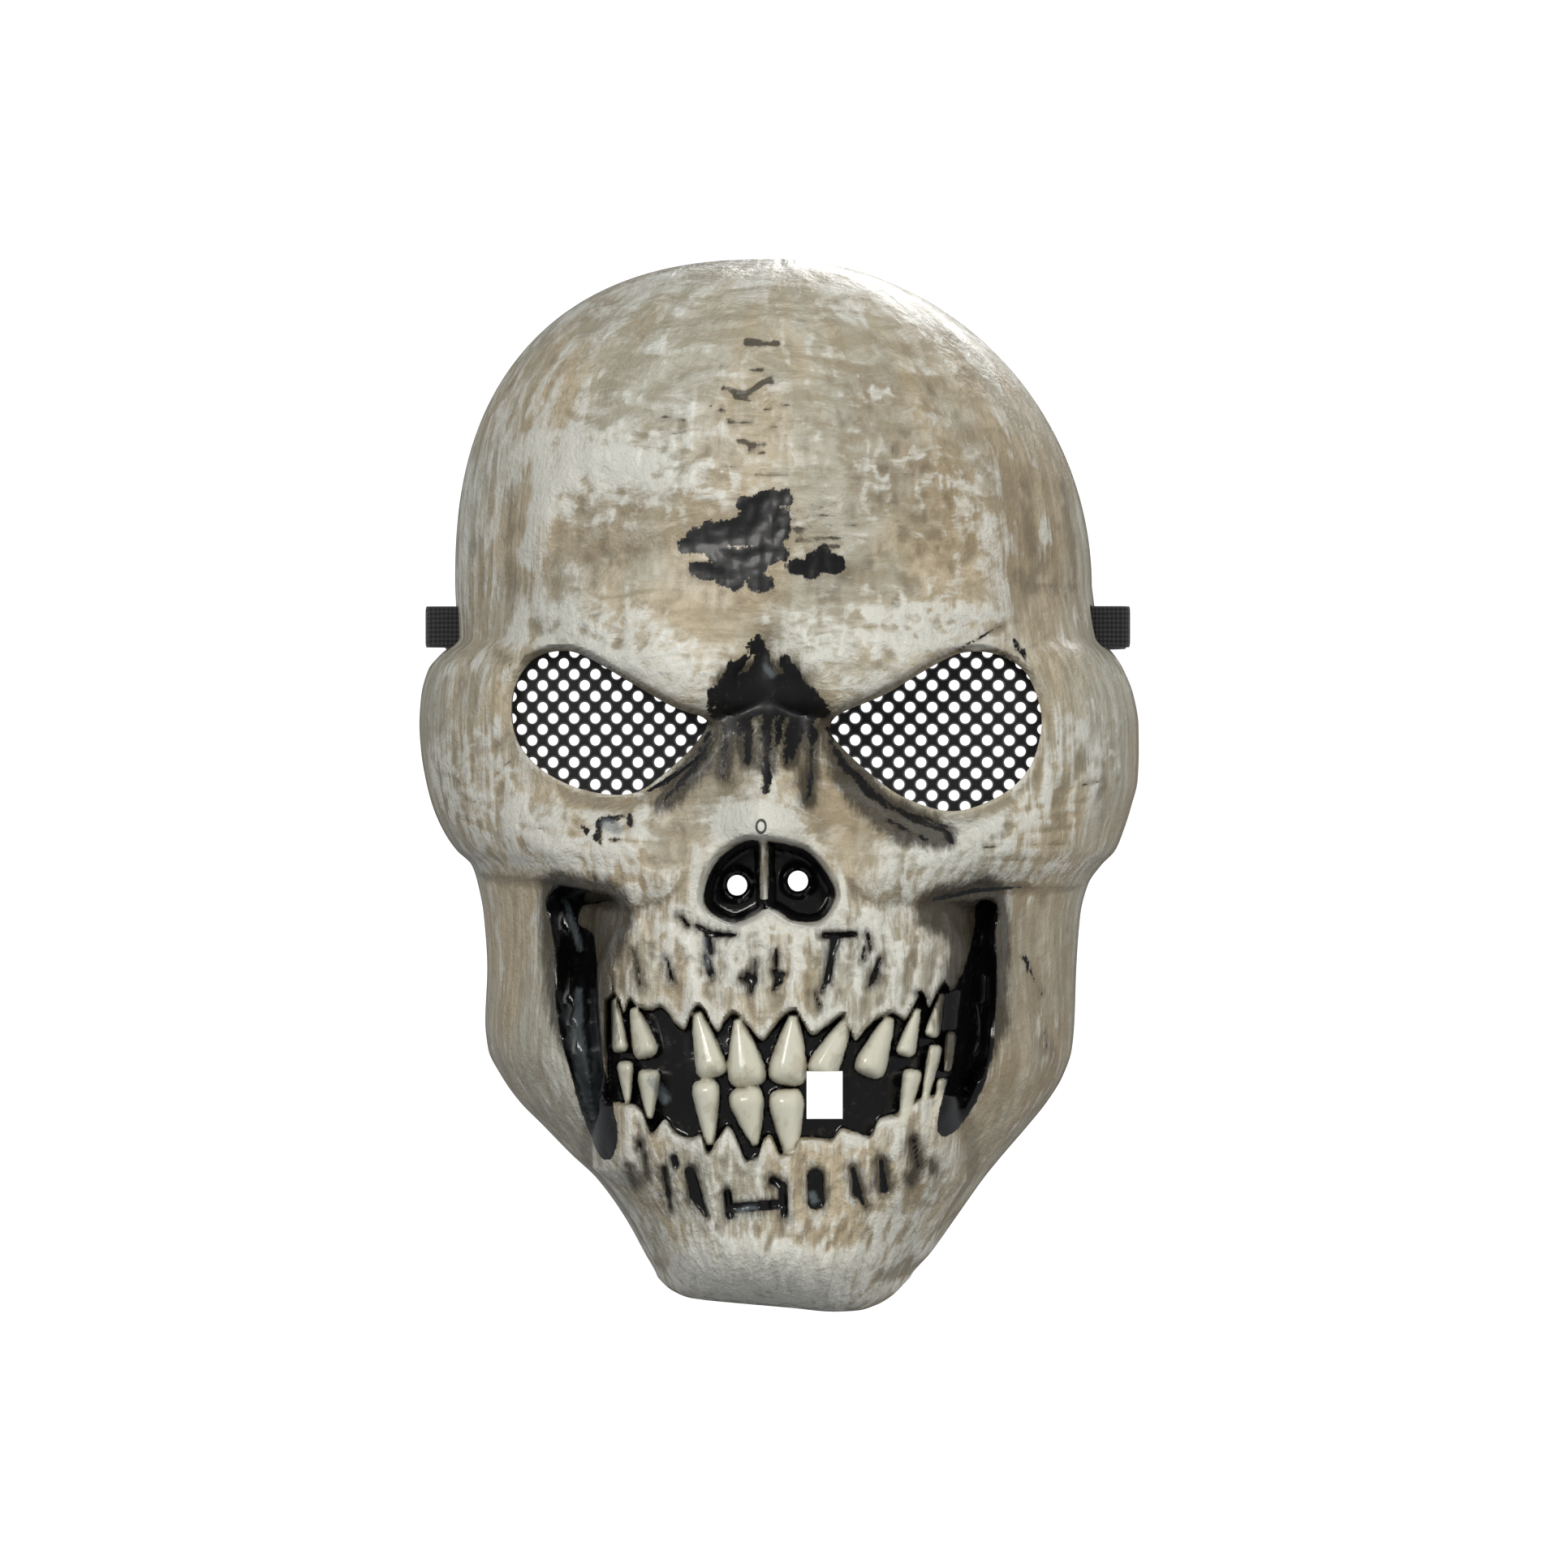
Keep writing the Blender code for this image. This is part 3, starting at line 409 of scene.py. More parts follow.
# Paint strokes: one end across and up, the other end across and up, radius at each end in millimetres
# Cracks and pits in the upper gum
GUM_MARKS = [
    (-0.233, -0.187, -0.211, -0.196, 0.18, 0.42), (-0.189, -0.196, -0.144, -0.204, 0.42, 0.63),
    (-0.144, -0.204, -0.082, -0.205, 0.63, 0.32), (-0.158, -0.205, -0.149, -0.221, 0.70, 0.53),
    (-0.162, -0.225, -0.149, -0.241, 0.53, 0.63), (-0.047, -0.242, -0.033, -0.247, 0.56, 0.84),
    (-0.069, -0.245, -0.042, -0.248, 0.28, 0.60), (-0.036, -0.247, -0.038, -0.259, 0.70, 0.25),
    (-0.027, -0.228, -0.027, -0.242, 0.18, 0.28), (0.029, -0.218, 0.029, -0.235, 0.21, 0.32),
    (0.027, -0.239, 0.038, -0.248, 0.63, 0.74), (0.038, -0.245, 0.024, -0.256, 0.74, 0.25),
    (0.042, -0.241, 0.055, -0.242, 0.53, 0.25), (0.158, -0.205, 0.242, -0.204, 0.70, 0.63),
    (0.189, -0.210, 0.180, -0.224, 1.05, 0.60), (0.180, -0.224, 0.169, -0.247, 0.60, 0.74),
    (0.166, -0.247, 0.153, -0.259, 0.35, 0.21), (0.277, -0.204, 0.286, -0.218, 0.28, 0.39),
    (0.269, -0.216, 0.264, -0.228, 0.21, 0.28), (0.311, -0.227, 0.291, -0.247, 0.35, 0.67),
    (0.291, -0.247, 0.282, -0.253, 0.42, 0.21), (-0.368, -0.218, -0.351, -0.235, 0.28, 0.32),
    (-0.351, -0.235, -0.344, -0.253, 0.32, 0.18), (-0.269, -0.227, -0.255, -0.247, 0.21, 0.42),
    (0.133, -0.258, 0.149, -0.272, 0.18, 0.28), (-0.424, -0.242, -0.420, -0.259, 0.35, 0.42),
    (-0.442, -0.227, -0.433, -0.239, 0.28, 0.18), (0.415, -0.259, 0.433, -0.265, 0.35, 0.25),
]
# Pits and cracks below the lower teeth
JAW_MARKS = [
    (-0.344, -0.401, -0.342, -0.405, 0.39, 0.39), (-0.373, -0.424, -0.364, -0.439, 0.56, 0.46),
    (-0.329, -0.412, -0.324, -0.436, 0.35, 0.42), (-0.249, -0.415, -0.244, -0.422, 0.70, 0.70),
    (-0.277, -0.425, -0.266, -0.450, 0.63, 0.88), (-0.266, -0.450, -0.260, -0.464, 0.70, 0.28),
    (-0.206, -0.428, -0.189, -0.450, 1.14, 1.40), (-0.189, -0.450, -0.164, -0.468, 1.23, 0.42),
    (-0.102, -0.448, -0.095, -0.469, 0.70, 0.70), (-0.095, -0.462, 0.042, -0.458, 0.81, 0.88),
    (0.024, -0.436, 0.049, -0.442, 0.70, 0.77), (0.049, -0.442, 0.053, -0.468, 0.88, 0.53),
    (0.138, -0.432, 0.140, -0.455, 1.75, 1.75), (0.238, -0.425, 0.251, -0.447, 0.88, 1.32),
    (0.251, -0.447, 0.273, -0.462, 0.88, 0.28), (0.313, -0.418, 0.322, -0.444, 0.96, 1.23),
    (0.402, -0.399, 0.411, -0.422, 0.88, 1.05), (0.411, -0.422, 0.393, -0.436, 0.70, 0.53),
    (0.446, -0.419, 0.455, -0.428, 0.42, 0.28),
]
# The black patch between the brows and its runs
BROW_INK = [
    (-0.024, 0.075, -0.016, 0.065, 0.53, 0.88), (-0.042, 0.068, -0.029, 0.062, 0.44, 0.53),
    (-0.011, 0.061, -0.013, 0.027, 1.23, 3.86), (-0.062, 0.025, 0.060, 0.025, 3.33, 3.68),
    (-0.107, 0.013, 0.127, 0.010, 1.93, 2.10), (-0.089, 0.048, -0.118, 0.027, 1.05, 1.23),
    (-0.062, 0.056, -0.107, 0.036, 0.61, 0.88), (-0.109, 0.038, -0.133, 0.021, 0.44, 0.79),
    (-0.147, 0.025, -0.149, 0.012, 0.26, 0.44), (0.049, 0.054, 0.078, 0.036, 1.05, 1.58),
    (0.064, 0.048, 0.115, 0.022, 0.70, 1.23), (0.115, 0.022, 0.155, 0.007, 1.40, 1.23),
    (-0.140, 0.005, -0.095, -0.003, 0.88, 1.05), (-0.104, -0.006, -0.078, -0.013, 0.88, 0.53),
    (-0.062, 0.000, -0.047, -0.015, 1.23, 0.79), (-0.047, -0.015, -0.047, -0.042, 0.67, 0.42),
    (0.004, 0.000, 0.002, -0.031, 0.96, 0.56), (0.002, -0.031, 0.000, -0.068, 0.42, 0.46),
    (0.038, -0.004, 0.033, -0.023, 0.70, 0.28), (0.082, 0.000, 0.069, -0.035, 1.58, 0.79),
    (0.064, -0.012, 0.055, -0.041, 0.44, 0.28), (0.115, -0.004, 0.127, -0.015, 0.88, 0.53),
]
# The ragged black wound in the forehead
WOUND_INK = [
    (-0.220, 0.162, -0.140, 0.165, 0.25, 0.96), (-0.140, 0.165, -0.062, 0.172, 1.14, 1.32),
    (-0.062, 0.172, 0.011, 0.170, 1.49, 1.40), (-0.135, 0.156, -0.062, 0.148, 0.70, 0.61),
    (-0.062, 0.148, 0.004, 0.157, 0.70, 1.23), (-0.195, 0.172, -0.118, 0.176, 0.18, 0.28),
    (-0.162, 0.177, -0.040, 0.182, 0.25, 0.53), (-0.073, 0.181, 0.038, 0.177, 0.28, 0.42),
    (0.004, 0.167, 0.042, 0.181, 0.42, 0.25), (0.016, 0.155, 0.038, 0.155, 0.32, 0.14),
    (-0.011, 0.201, -0.013, 0.187, 1.14, 1.67), (-0.060, 0.202, -0.007, 0.199, 0.39, 0.70),
    (-0.007, 0.206, 0.051, 0.208, 0.42, 0.18), (0.011, 0.195, 0.044, 0.188, 0.70, 0.35),
    (-0.051, 0.193, -0.018, 0.188, 0.44, 0.70), (-0.018, 0.187, -0.033, 0.179, 0.70, 0.53),
    (-0.195, 0.142, -0.151, 0.138, 0.25, 0.42), (-0.151, 0.138, -0.084, 0.133, 0.32, 0.46),
    (-0.118, 0.133, -0.084, 0.127, 0.46, 0.25), (-0.062, 0.138, -0.018, 0.142, 0.28, 0.25),
    (-0.033, 0.128, 0.000, 0.127, 0.21, 0.18), (0.082, 0.142, 0.118, 0.140, 0.46, 0.60),
    (0.155, 0.148, 0.189, 0.145, 0.56, 0.46), (0.127, 0.150, 0.153, 0.154, 0.21, 0.21),
]
# Faint dark marks on the forehead and the cheeks
FAINT_MARKS = [
    (0.089, 0.142, 0.093, 0.141, 1.05, 1.05), (0.151, 0.147, 0.180, 0.150, 0.70, 0.53),
    (0.673, 0.073, 0.721, 0.042, 0.53, 0.53),
    (0.606, 0.054, 0.646, 0.061, 0.35, 0.53), (0.695, -0.227, 0.713, -0.242, 0.53, 0.35),
    (0.744, -0.300, 0.757, -0.315, 0.35, 0.35), (0.721, -0.246, 0.735, -0.262, 0.35, 0.35),
]
# Where the hollows' black thins to brown smoke paint and painted shade, widest under the cheekbones
HOLLOW_SMOKE_AND_SHADE_LEFT = [
    (-0.597, -0.159), (-0.526, -0.161), (-0.437, -0.165), (-0.397, -0.181), (-0.406, -0.200),
    (-0.433, -0.221), (-0.453, -0.242), (-0.437, -0.319), (-0.420, -0.396), (-0.448, -0.408),
    (-0.548, -0.319), (-0.597, -0.204),
]
HOLLOW_SMOKE_AND_SHADE_RIGHT = [
    (0.451, -0.173), (0.539, -0.168), (0.615, -0.172), (0.610, -0.319), (0.539, -0.369),
    (0.491, -0.390), (0.468, -0.390), (0.473, -0.350), (0.495, -0.312), (0.495, -0.269),
    (0.517, -0.242), (0.531, -0.215), (0.495, -0.196), (0.446, -0.187),
]
# Black brush marks by the inner corners of the eyes
CORNER_INK = [
    (-0.107, -0.005, -0.118, -0.035, 0.60, 0.46), (-0.118, -0.035, -0.113, -0.059, 0.46, 0.21),
    (-0.158, -0.015, -0.173, -0.038, 0.70, 0.88), (-0.173, -0.038, -0.229, -0.059, 0.88, 0.79),
    (-0.229, -0.059, -0.282, -0.081, 0.79, 0.26), (-0.144, -0.021, -0.193, -0.052, 0.35, 0.35),
    (0.127, -0.015, 0.118, -0.077, 0.56, 0.39), (0.166, -0.008, 0.178, -0.023, 0.44, 0.70),
    (0.178, -0.023, 0.220, -0.050, 0.70, 0.88), (0.220, -0.046, 0.286, -0.073, 0.61, 0.70),
    (0.286, -0.073, 0.382, -0.092, 0.70, 0.61), (0.382, -0.092, 0.482, -0.104, 0.61, 0.53),
    (0.482, -0.104, 0.504, -0.116, 0.53, 0.26), (0.326, -0.096, 0.437, -0.115, 0.44, 0.35),
]
# Brown smoke round the brow's patch and the inner corners of the eyes
CORNER_SMOKE = [
    (-0.107, -0.005, -0.118, -0.050, 1.23, 0.88), (-0.149, -0.012, -0.173, -0.038, 1.40, 1.75),
    (-0.173, -0.038, -0.282, -0.081, 1.93, 0.88), (0.122, -0.012, 0.118, -0.077, 1.23, 0.88),
    (0.166, -0.006, 0.220, -0.050, 1.23, 2.28), (0.220, -0.050, 0.286, -0.079, 2.46, 2.46),
    (0.286, -0.079, 0.382, -0.102, 2.46, 2.98), (0.382, -0.102, 0.482, -0.112, 2.81, 1.40),
    (-0.067, -0.004, -0.047, -0.038, 1.58, 0.88), (0.007, -0.004, 0.002, -0.042, 1.58, 0.88),
    (0.078, -0.004, 0.069, -0.038, 2.10, 1.05), (0.038, 0.027, -0.062, 0.027, 5.26, 4.91),
]
# Thin black lines: painted shadow under the cheekbones, and lines along the eye openings and in the fold of
# the right brow
SHADOW_AND_EYE_LINES = [
    (-0.590, -0.158, -0.500, -0.165, 0.30, 0.60), (-0.500, -0.165, -0.425, -0.172, 0.60, 0.40),
    (0.450, -0.172, 0.560, -0.163, 0.35, 0.55), (0.560, -0.163, 0.690, -0.160, 0.55, 0.20),
    (-0.331, -0.070, -0.277, -0.060, 0.28, 0.56), (-0.277, -0.060, -0.171, -0.034, 0.56, 0.39),
    (-0.171, -0.034, -0.155, -0.012, 0.35, 0.25), (0.522, 0.065, 0.570, 0.075, 0.19, 0.26),
    (0.570, 0.075, 0.635, 0.088, 0.26, 0.16), (0.175, 0.001, 0.184, -0.012, 0.26, 0.32),
]
# The bare slit in the wound
WOUND_SLIT = [
    (-0.100, 0.161, -0.042, 0.162, 0.46, 0.28),
]
# Dark rim of the stain on the left cheekbone
STAIN_INK = [
    (-0.457, -0.099, -0.455, -0.114, 0.60, 0.46), (-0.442, -0.095, -0.388, -0.093, 0.21, 0.21),
    (-0.375, -0.092, -0.366, -0.101, 0.46, 0.28), (-0.424, -0.115, -0.395, -0.115, 0.32, 0.21),
    (-0.506, -0.102, -0.491, -0.107, 0.28, 0.21), (-0.468, -0.113, -0.451, -0.119, 0.25, 0.18),
]
# Painted grey reflections on the black and in the middle of the stain
GREY_SHEEN = [
    (-0.437, -0.101, -0.406, -0.105, 1.40, 1.40), (-0.566, -0.172, -0.539, -0.200, 0.61, 0.79),
    (-0.539, -0.200, -0.522, -0.219, 0.79, 0.53), (-0.524, -0.259, -0.528, -0.300, 0.70, 1.40),
    (-0.528, -0.300, -0.511, -0.338, 1.49, 1.40), (-0.511, -0.338, -0.482, -0.379, 1.40, 0.61),
    (-0.071, -0.464, -0.027, -0.461, 0.63, 0.56), (-0.002, 0.048, 0.016, 0.041, 0.79, 0.88),
    (-0.311, -0.341, -0.277, -0.359, 1.05, 1.23), (0.129, -0.450, 0.135, -0.455, 0.88, 0.88),
    (-0.166, -0.210, -0.158, -0.235, 0.61, 0.53),
]
# Creases across the forehead
FOREHEAD_CREASES = [
    (-0.058, 0.356, 0.024, 0.355, 0.88, 0.70), (-0.062, 0.331, -0.016, 0.329, 0.44, 0.44),
    (-0.120, 0.312, -0.062, 0.307, 0.53, 0.61), (-0.067, 0.305, 0.013, 0.323, 0.61, 0.44),
    (-0.089, 0.304, -0.047, 0.301, 0.44, 0.35), (-0.078, 0.261, -0.007, 0.259, 0.53, 0.44),
    (-0.049, 0.252, -0.007, 0.251, 0.53, 0.35), (-0.107, 0.281, -0.040, 0.278, 0.35, 0.26),
    (-0.029, 0.272, 0.027, 0.275, 0.35, 0.26), (-0.317, 0.287, -0.229, 0.282, 0.35, 0.26),
    (-0.304, 0.272, -0.246, 0.268, 0.35, 0.26), (0.038, 0.196, 0.149, 0.198, 0.26, 0.26),
    (0.027, 0.187, 0.215, 0.193, 0.26, 0.26), (0.038, 0.179, 0.242, 0.182, 0.26, 0.35),
    (0.064, 0.173, 0.238, 0.170, 0.35, 0.26), (0.082, 0.166, 0.198, 0.162, 0.26, 0.26),
    (-0.140, 0.238, -0.018, 0.235, 0.26, 0.26), (-0.062, 0.227, 0.060, 0.230, 0.26, 0.26),
    (-0.007, 0.292, 0.060, 0.296, 0.35, 0.26), (-0.162, 0.296, -0.118, 0.290, 0.26, 0.35),
    (-0.129, 0.333, -0.084, 0.330, 0.26, 0.26), (-0.007, 0.315, 0.038, 0.319, 0.26, 0.26),
]
# Creases at the outer corners of the eyes and on the cheekbones
CORNER_CREASES = [
    (0.610, 0.065, 0.673, 0.048, 0.35, 0.44), (0.642, 0.056, 0.708, 0.031, 0.35, 0.44),
    (0.673, 0.042, 0.735, 0.018, 0.35, 0.35), (0.633, 0.073, 0.721, 0.054, 0.26, 0.35),
    (0.735, -0.015, 0.788, -0.023, 0.35, 0.26), (0.730, -0.035, 0.784, -0.048, 0.35, 0.26),
    (-0.659, 0.072, -0.721, 0.048, 0.35, 0.44), (-0.686, 0.065, -0.744, 0.031, 0.35, 0.35),
    (-0.708, 0.038, -0.752, 0.004, 0.35, 0.35), (-0.721, -0.015, -0.766, -0.031, 0.35, 0.26),
    (-0.708, -0.038, -0.757, -0.054, 0.35, 0.26), (0.539, -0.098, 0.673, -0.102, 0.35, 0.35),
    (0.517, -0.108, 0.717, -0.116, 0.35, 0.44), (0.584, -0.122, 0.806, -0.119, 0.35, 0.35),
    (0.650, -0.110, 0.850, -0.102, 0.35, 0.26), (0.717, -0.095, 0.895, -0.088, 0.35, 0.26),
    (0.617, -0.090, 0.739, -0.085, 0.26, 0.26), (0.562, -0.133, 0.761, -0.135, 0.35, 0.26),
    (-0.837, -0.077, -0.748, -0.088, 0.35, 0.35), (-0.748, -0.096, -0.615, -0.105, 0.35, 0.35),
    (-0.659, -0.088, -0.526, -0.098, 0.35, 0.26), (-0.881, -0.058, -0.815, -0.069, 0.35, 0.26),
    (-0.870, -0.092, -0.770, -0.108, 0.35, 0.26), (0.650, -0.088, 0.872, -0.077, 0.26, 0.26),
    (0.784, -0.069, 0.917, -0.058, 0.26, 0.26),
]

# Where brown wash lies, where pale paint was dragged over the tops with painted highlights on them, and where
# the black thins to olive:
# across, up, reach above, reach below, how much
WASHED = [
    [(0.36, 0.27, 0.030, 0.030, 0.9), (0.56, 0.20, 0.034, 0.034, 1.0), (0.70, 0.14, 0.024, 0.024, 0.7)],
    [(-0.38, 0.195, 0.022, 0.022, 0.8), (-0.60, 0.150, 0.020, 0.020, 0.6)],
    [(-0.05, 0.105, 0.016, 0.016, 0.5), (0.14, 0.135, 0.020, 0.020, 0.5)],
    [(0.66, -0.20, 0.024, 0.024, 0.8), (0.72, -0.33, 0.028, 0.028, 0.9), (0.52, -0.43, 0.020, 0.020, 0.7)],
    [(-0.35, -0.16, 0.012, 0.012, 0.7), (-0.41, -0.26, 0.008, 0.008, 0.6)],
    [(0.44, -0.17, 0.012, 0.012, 0.9), (0.42, -0.22, 0.009, 0.009, 0.8)],
    [(-0.13, -0.055, 0.012, 0.014, 0.7), (-0.26, -0.105, 0.014, 0.014, 0.5)],
    [(0.15, -0.055, 0.012, 0.014, 0.8), (0.28, -0.115, 0.014, 0.014, 0.6)],
    [(-0.80, -0.020, 0.010, 0.010, 0.5), (-0.84, -0.045, 0.010, 0.010, 0.5)],
]
# Pale paint dragged over the tops, with painted highlights on the brows, cheekbones, nose bridge, chin and
# forehead
PALE_AND_HIGHLIGHT = [
    [(-0.56, 0.235, 0.018, 0.016, 0.9), (-0.38, 0.240, 0.020, 0.016, 1.0),
     (-0.18, 0.225, 0.016, 0.014, 0.8)],
    [(-0.64, 0.085, 0.010, 0.008, 0.9), (-0.42, 0.068, 0.012, 0.010, 0.9),
     (-0.16, 0.040, 0.012, 0.012, 0.6)],
    [(0.06, 0.075, 0.014, 0.012, 0.7), (0.22, 0.075, 0.016, 0.012, 0.8), (0.56, 0.092, 0.010, 0.010, 0.8)],
    [(-0.84, -0.050, 0.018, 0.016, 0.9), (-0.74, -0.100, 0.014, 0.014, 1.0),
     (-0.44, -0.125, 0.010, 0.010, 0.8)],
    [(0.44, -0.125, 0.010, 0.010, 0.8), (0.66, -0.105, 0.014, 0.012, 0.7),
     (0.82, -0.030, 0.016, 0.014, 0.6)],
    [(-0.10, -0.095, 0.008, 0.008, 0.9), (0.06, -0.095, 0.008, 0.008, 0.9)],
    [(-0.16, -0.525, 0.012, 0.012, 0.7), (0.18, -0.525, 0.012, 0.012, 0.7)],
    [(-0.22, -0.205, 0.012, 0.010, 0.6), (0.00, -0.215, 0.012, 0.012, 0.7),
     (0.34, -0.200, 0.012, 0.010, 0.6)],
    [(-0.90, 0.14, 0.030, 0.030, 0.6), (-0.78, 0.24, 0.030, 0.020, 0.6)],
]
OLIVE = [
    [(-0.40, -0.425, 0.012, 0.014, 0.9), (-0.28, -0.440, 0.010, 0.012, 0.7)],
    [(0.24, -0.430, 0.014, 0.014, 0.8), (0.42, -0.420, 0.014, 0.014, 1.0)],
    [(-0.45, -0.175, 0.012, 0.016, 1.0), (-0.42, -0.205, 0.010, 0.016, 1.0)],
    [(0.46, -0.175, 0.012, 0.012, 1.0), (0.56, -0.180, 0.012, 0.012, 0.8)],
]

# Colours of the paints, the plastic and the fabrics
BONE_WARM = (0.530, 0.450, 0.320)
BONE_COOL = (0.475, 0.462, 0.385)
BONE_SHADE = (0.250, 0.205, 0.122)
WASH_BROWN = (0.235, 0.165, 0.088)
# Dark brown wash, and the painted shade in the recesses
DEEP_WASH_AND_SHADE = (0.070, 0.052, 0.030)
# Dark brown of the smoke paint, and the painted shade in the hollows and creases
SMOKE_AND_SHADE_BROWN = (0.034, 0.028, 0.018)
# Pale drybrush paint, which also paints the highlights on the tops
DRY_BRUSH_AND_HIGHLIGHT = (0.690, 0.690, 0.630)
TOOTH_IVORY = (0.585, 0.575, 0.470)
INK_BLACK = (0.0030, 0.0030, 0.0035)
INK_BROWN = (0.030, 0.023, 0.015)
# Grey of the painted reflections on the black
PAINTED_REFLECTION_GREY = (0.160, 0.190, 0.205)
BACK_LIGHT = (0.62, 0.58, 0.48)
BACK_DARK = (0.54, 0.50, 0.40)
BACK_SPECK = (0.40, 0.36, 0.28)
NET_DEEP = (0.004, 0.004, 0.005)
NET_YARN = (0.085, 0.085, 0.092)
ELASTIC_DEEP = (0.006, 0.006, 0.007)
ELASTIC_YARN = (0.035, 0.035, 0.038)
# Painted highlight along the band's edges
ELASTIC_EDGE_HIGHLIGHT = (0.060, 0.060, 0.062)
PAPER_LIGHT = (0.90, 0.90, 0.90)
PAPER_SHADE = (0.86, 0.86, 0.86)

# The camera: degrees to the right of the front, distance, what it looks at and how much it takes in
camera_turn = 2.0
camera_distance = 4.0
camera_aim = (0.0032, -0.010, -0.0142)
frame_width = 0.3388
sensor_width = 36.0

# Lights: name, place, width and height, watts, colour, and whether it shows as a glint in the lacquer
LIGHTS = [
    ("key_softbox", (-0.9, -2.1, 1.3), (1.0, 1.0), 36.0, (1.0, 0.985, 0.95), True),
    ("fill_softbox", (1.2, -2.1, 0.1), (0.9, 1.2), 21.0, (1.0, 0.98, 0.94), False),
    ("side_softbox", (1.9, -0.6, 0.5), (0.4, 1.4), 15.0, (0.99, 0.98, 0.96), False),
    ("left_softbox", (-1.9, -0.6, 0.2), (0.4, 1.4), 7.0, (0.99, 0.98, 0.97), False),
    ("back_softbox", (0.5, 2.2, 1.3), (1.2, 0.9), 30.0, (1.0, 1.0, 1.0), True),
]
room_light = 0.22

LEFT = 1
RIGHT = 2


def smooth_step(low, high, value):
    """Rise from 0 at low to 1 at high, level at both ends."""
    t = np.clip((value - low) / (high - low), 0.0, 1.0)
    return t * t * (3.0 - 2.0 * t)


def read_table(table, column, at):
    """Read one column of a table at the given first-column values, on a curve that never overshoots."""
    rows = np.array(table)
    xs, ys = rows[:, 0], rows[:, column]
    steps = np.diff(xs)
    slopes = np.diff(ys) / steps
    tangents = np.empty_like(ys)
    tangents[0], tangents[-1] = slopes[0], slopes[-1]
    before, after = slopes[:-1], slopes[1:]
    same_way = before * after > 0
    total = np.where(same_way, before + after, 1.0)
    tangents[1:-1] = np.where(same_way, 2.0 * before * after / total, 0.0)
    at = np.clip(at, xs[0], xs[-1])
    i = np.clip(np.searchsorted(xs, at) - 1, 0, len(xs) - 2)
    h = steps[i]
    t = (at - xs[i]) / h
    rise = t * t * (3.0 - 2.0 * t)
    start = t * (1.0 - t) ** 2 * h * tangents[i]
    end = t * t * (t - 1.0) * h * tangents[i + 1]
    return ys[i] * (1.0 - rise) + ys[i + 1] * rise + start + end


def half_width(z, side):
    """Half width of the mask at a height, on the left or on the right."""
    up = z / mask_height
    power = left_crown_power if side == LEFT else right_crown_power
    table_width = read_table(EDGE, side, np.minimum(up, shoulder_up))
    rise = np.clip((up - shoulder_up) / (crown_up - shoulder_up), 0.0, 1.0)
    return table_width * (1.0 - rise ** power) ** (1.0 / power) * mask_width / 2


def crown_height(x):
    """Height of the forehead's edge above a point across."""
    heights = []
    for side, power in ((LEFT, left_crown_power), (RIGHT, right_crown_power)):
        shoulder = read_table(EDGE, side, np.array([shoulder_up]))[0] * mask_width / 2
        reach = np.clip(np.abs(x) / shoulder, 0.0, 1.0)
        heights.append(shoulder_up + (crown_up - shoulder_up) * (1.0 - reach ** power) ** (1.0 / power))
    return np.where(x < 0, heights[0], heights[1]) * mask_height


def chin_height(x):
    """Height of the chin's lower edge below a point across."""
    drop = read_table(CHIN_EDGE, 1, x / (mask_width / 2))
    return (chin_corner_up - drop) * mask_height


def bare_front(x, z):
    """How far forward the plain face stands, before its relief."""
    up = z / mask_height
    wide = np.where(x < 0, half_width(z, LEFT), half_width(z, RIGHT))
    share = np.clip(np.abs(x) / np.maximum(wide, 1e-6), 0.0, 1.0)
    turn = np.arcsin(share * math.sin(side_turn))
    bulge = (np.cos(turn) - math.cos(side_turn)) / (1.0 - math.cos(side_turn))
    near_edge = 1.0 - np.clip((z - chin_height(x)) / chin_round, 0.0, 1.0)
    tuck = 1.0 - chin_tuck * (1.0 - np.sqrt(1.0 - near_edge ** 2))
    middle = read_table(PROFILE, 1, up)
    rim = read_table(PROFILE, 2, up)
    return (rim + (middle - rim) * bulge * tuck) * mask_depth - rim_back


def outward(x, z):
    """Direction that the plain face points in, taken a little inside its edge."""
    x, z, step = 0.98 * x, 0.98 * z, 0.0003
    slope_x = (bare_front(x + step, z) - bare_front(x - step, z)) / (2.0 * step)
    slope_z = (bare_front(x, z + step) - bare_front(x, z - step)) / (2.0 * step)
    normal = -np.stack([slope_x, np.ones_like(x), slope_z], axis=-1)
    return normal / np.linalg.norm(normal, axis=-1, keepdims=True)


def closed_curve(points, steps=3):
    """Round a closed outline through its points, and give it in metres."""
    p = np.array(points) * (mask_width / 2, mask_height)
    before, after, second = np.roll(p, 1, 0), np.roll(p, -1, 0), np.roll(p, -2, 0)
    curve = []
    for i in range(len(p)):
        for k in range(steps):
            t = k / steps
            a = 2.0 * p[i]
            b = (after[i] - before[i]) * t
            c = (2.0 * before[i] - 5.0 * p[i] + 4.0 * after[i] - second[i]) * t ** 2
            d = (3.0 * p[i] - before[i] - 3.0 * after[i] + second[i]) * t ** 3
            curve.append((a + b + c + d) / 2.0)
    return np.array(curve)


def nearest_share(x, z, ax, az, ex, ez):
    """How far along a line its point nearest to each place lies, from 0 to 1."""
    return np.clip(((x - ax) * ex + (z - az) * ez) / (ex * ex + ez * ez), 0.0, 1.0)


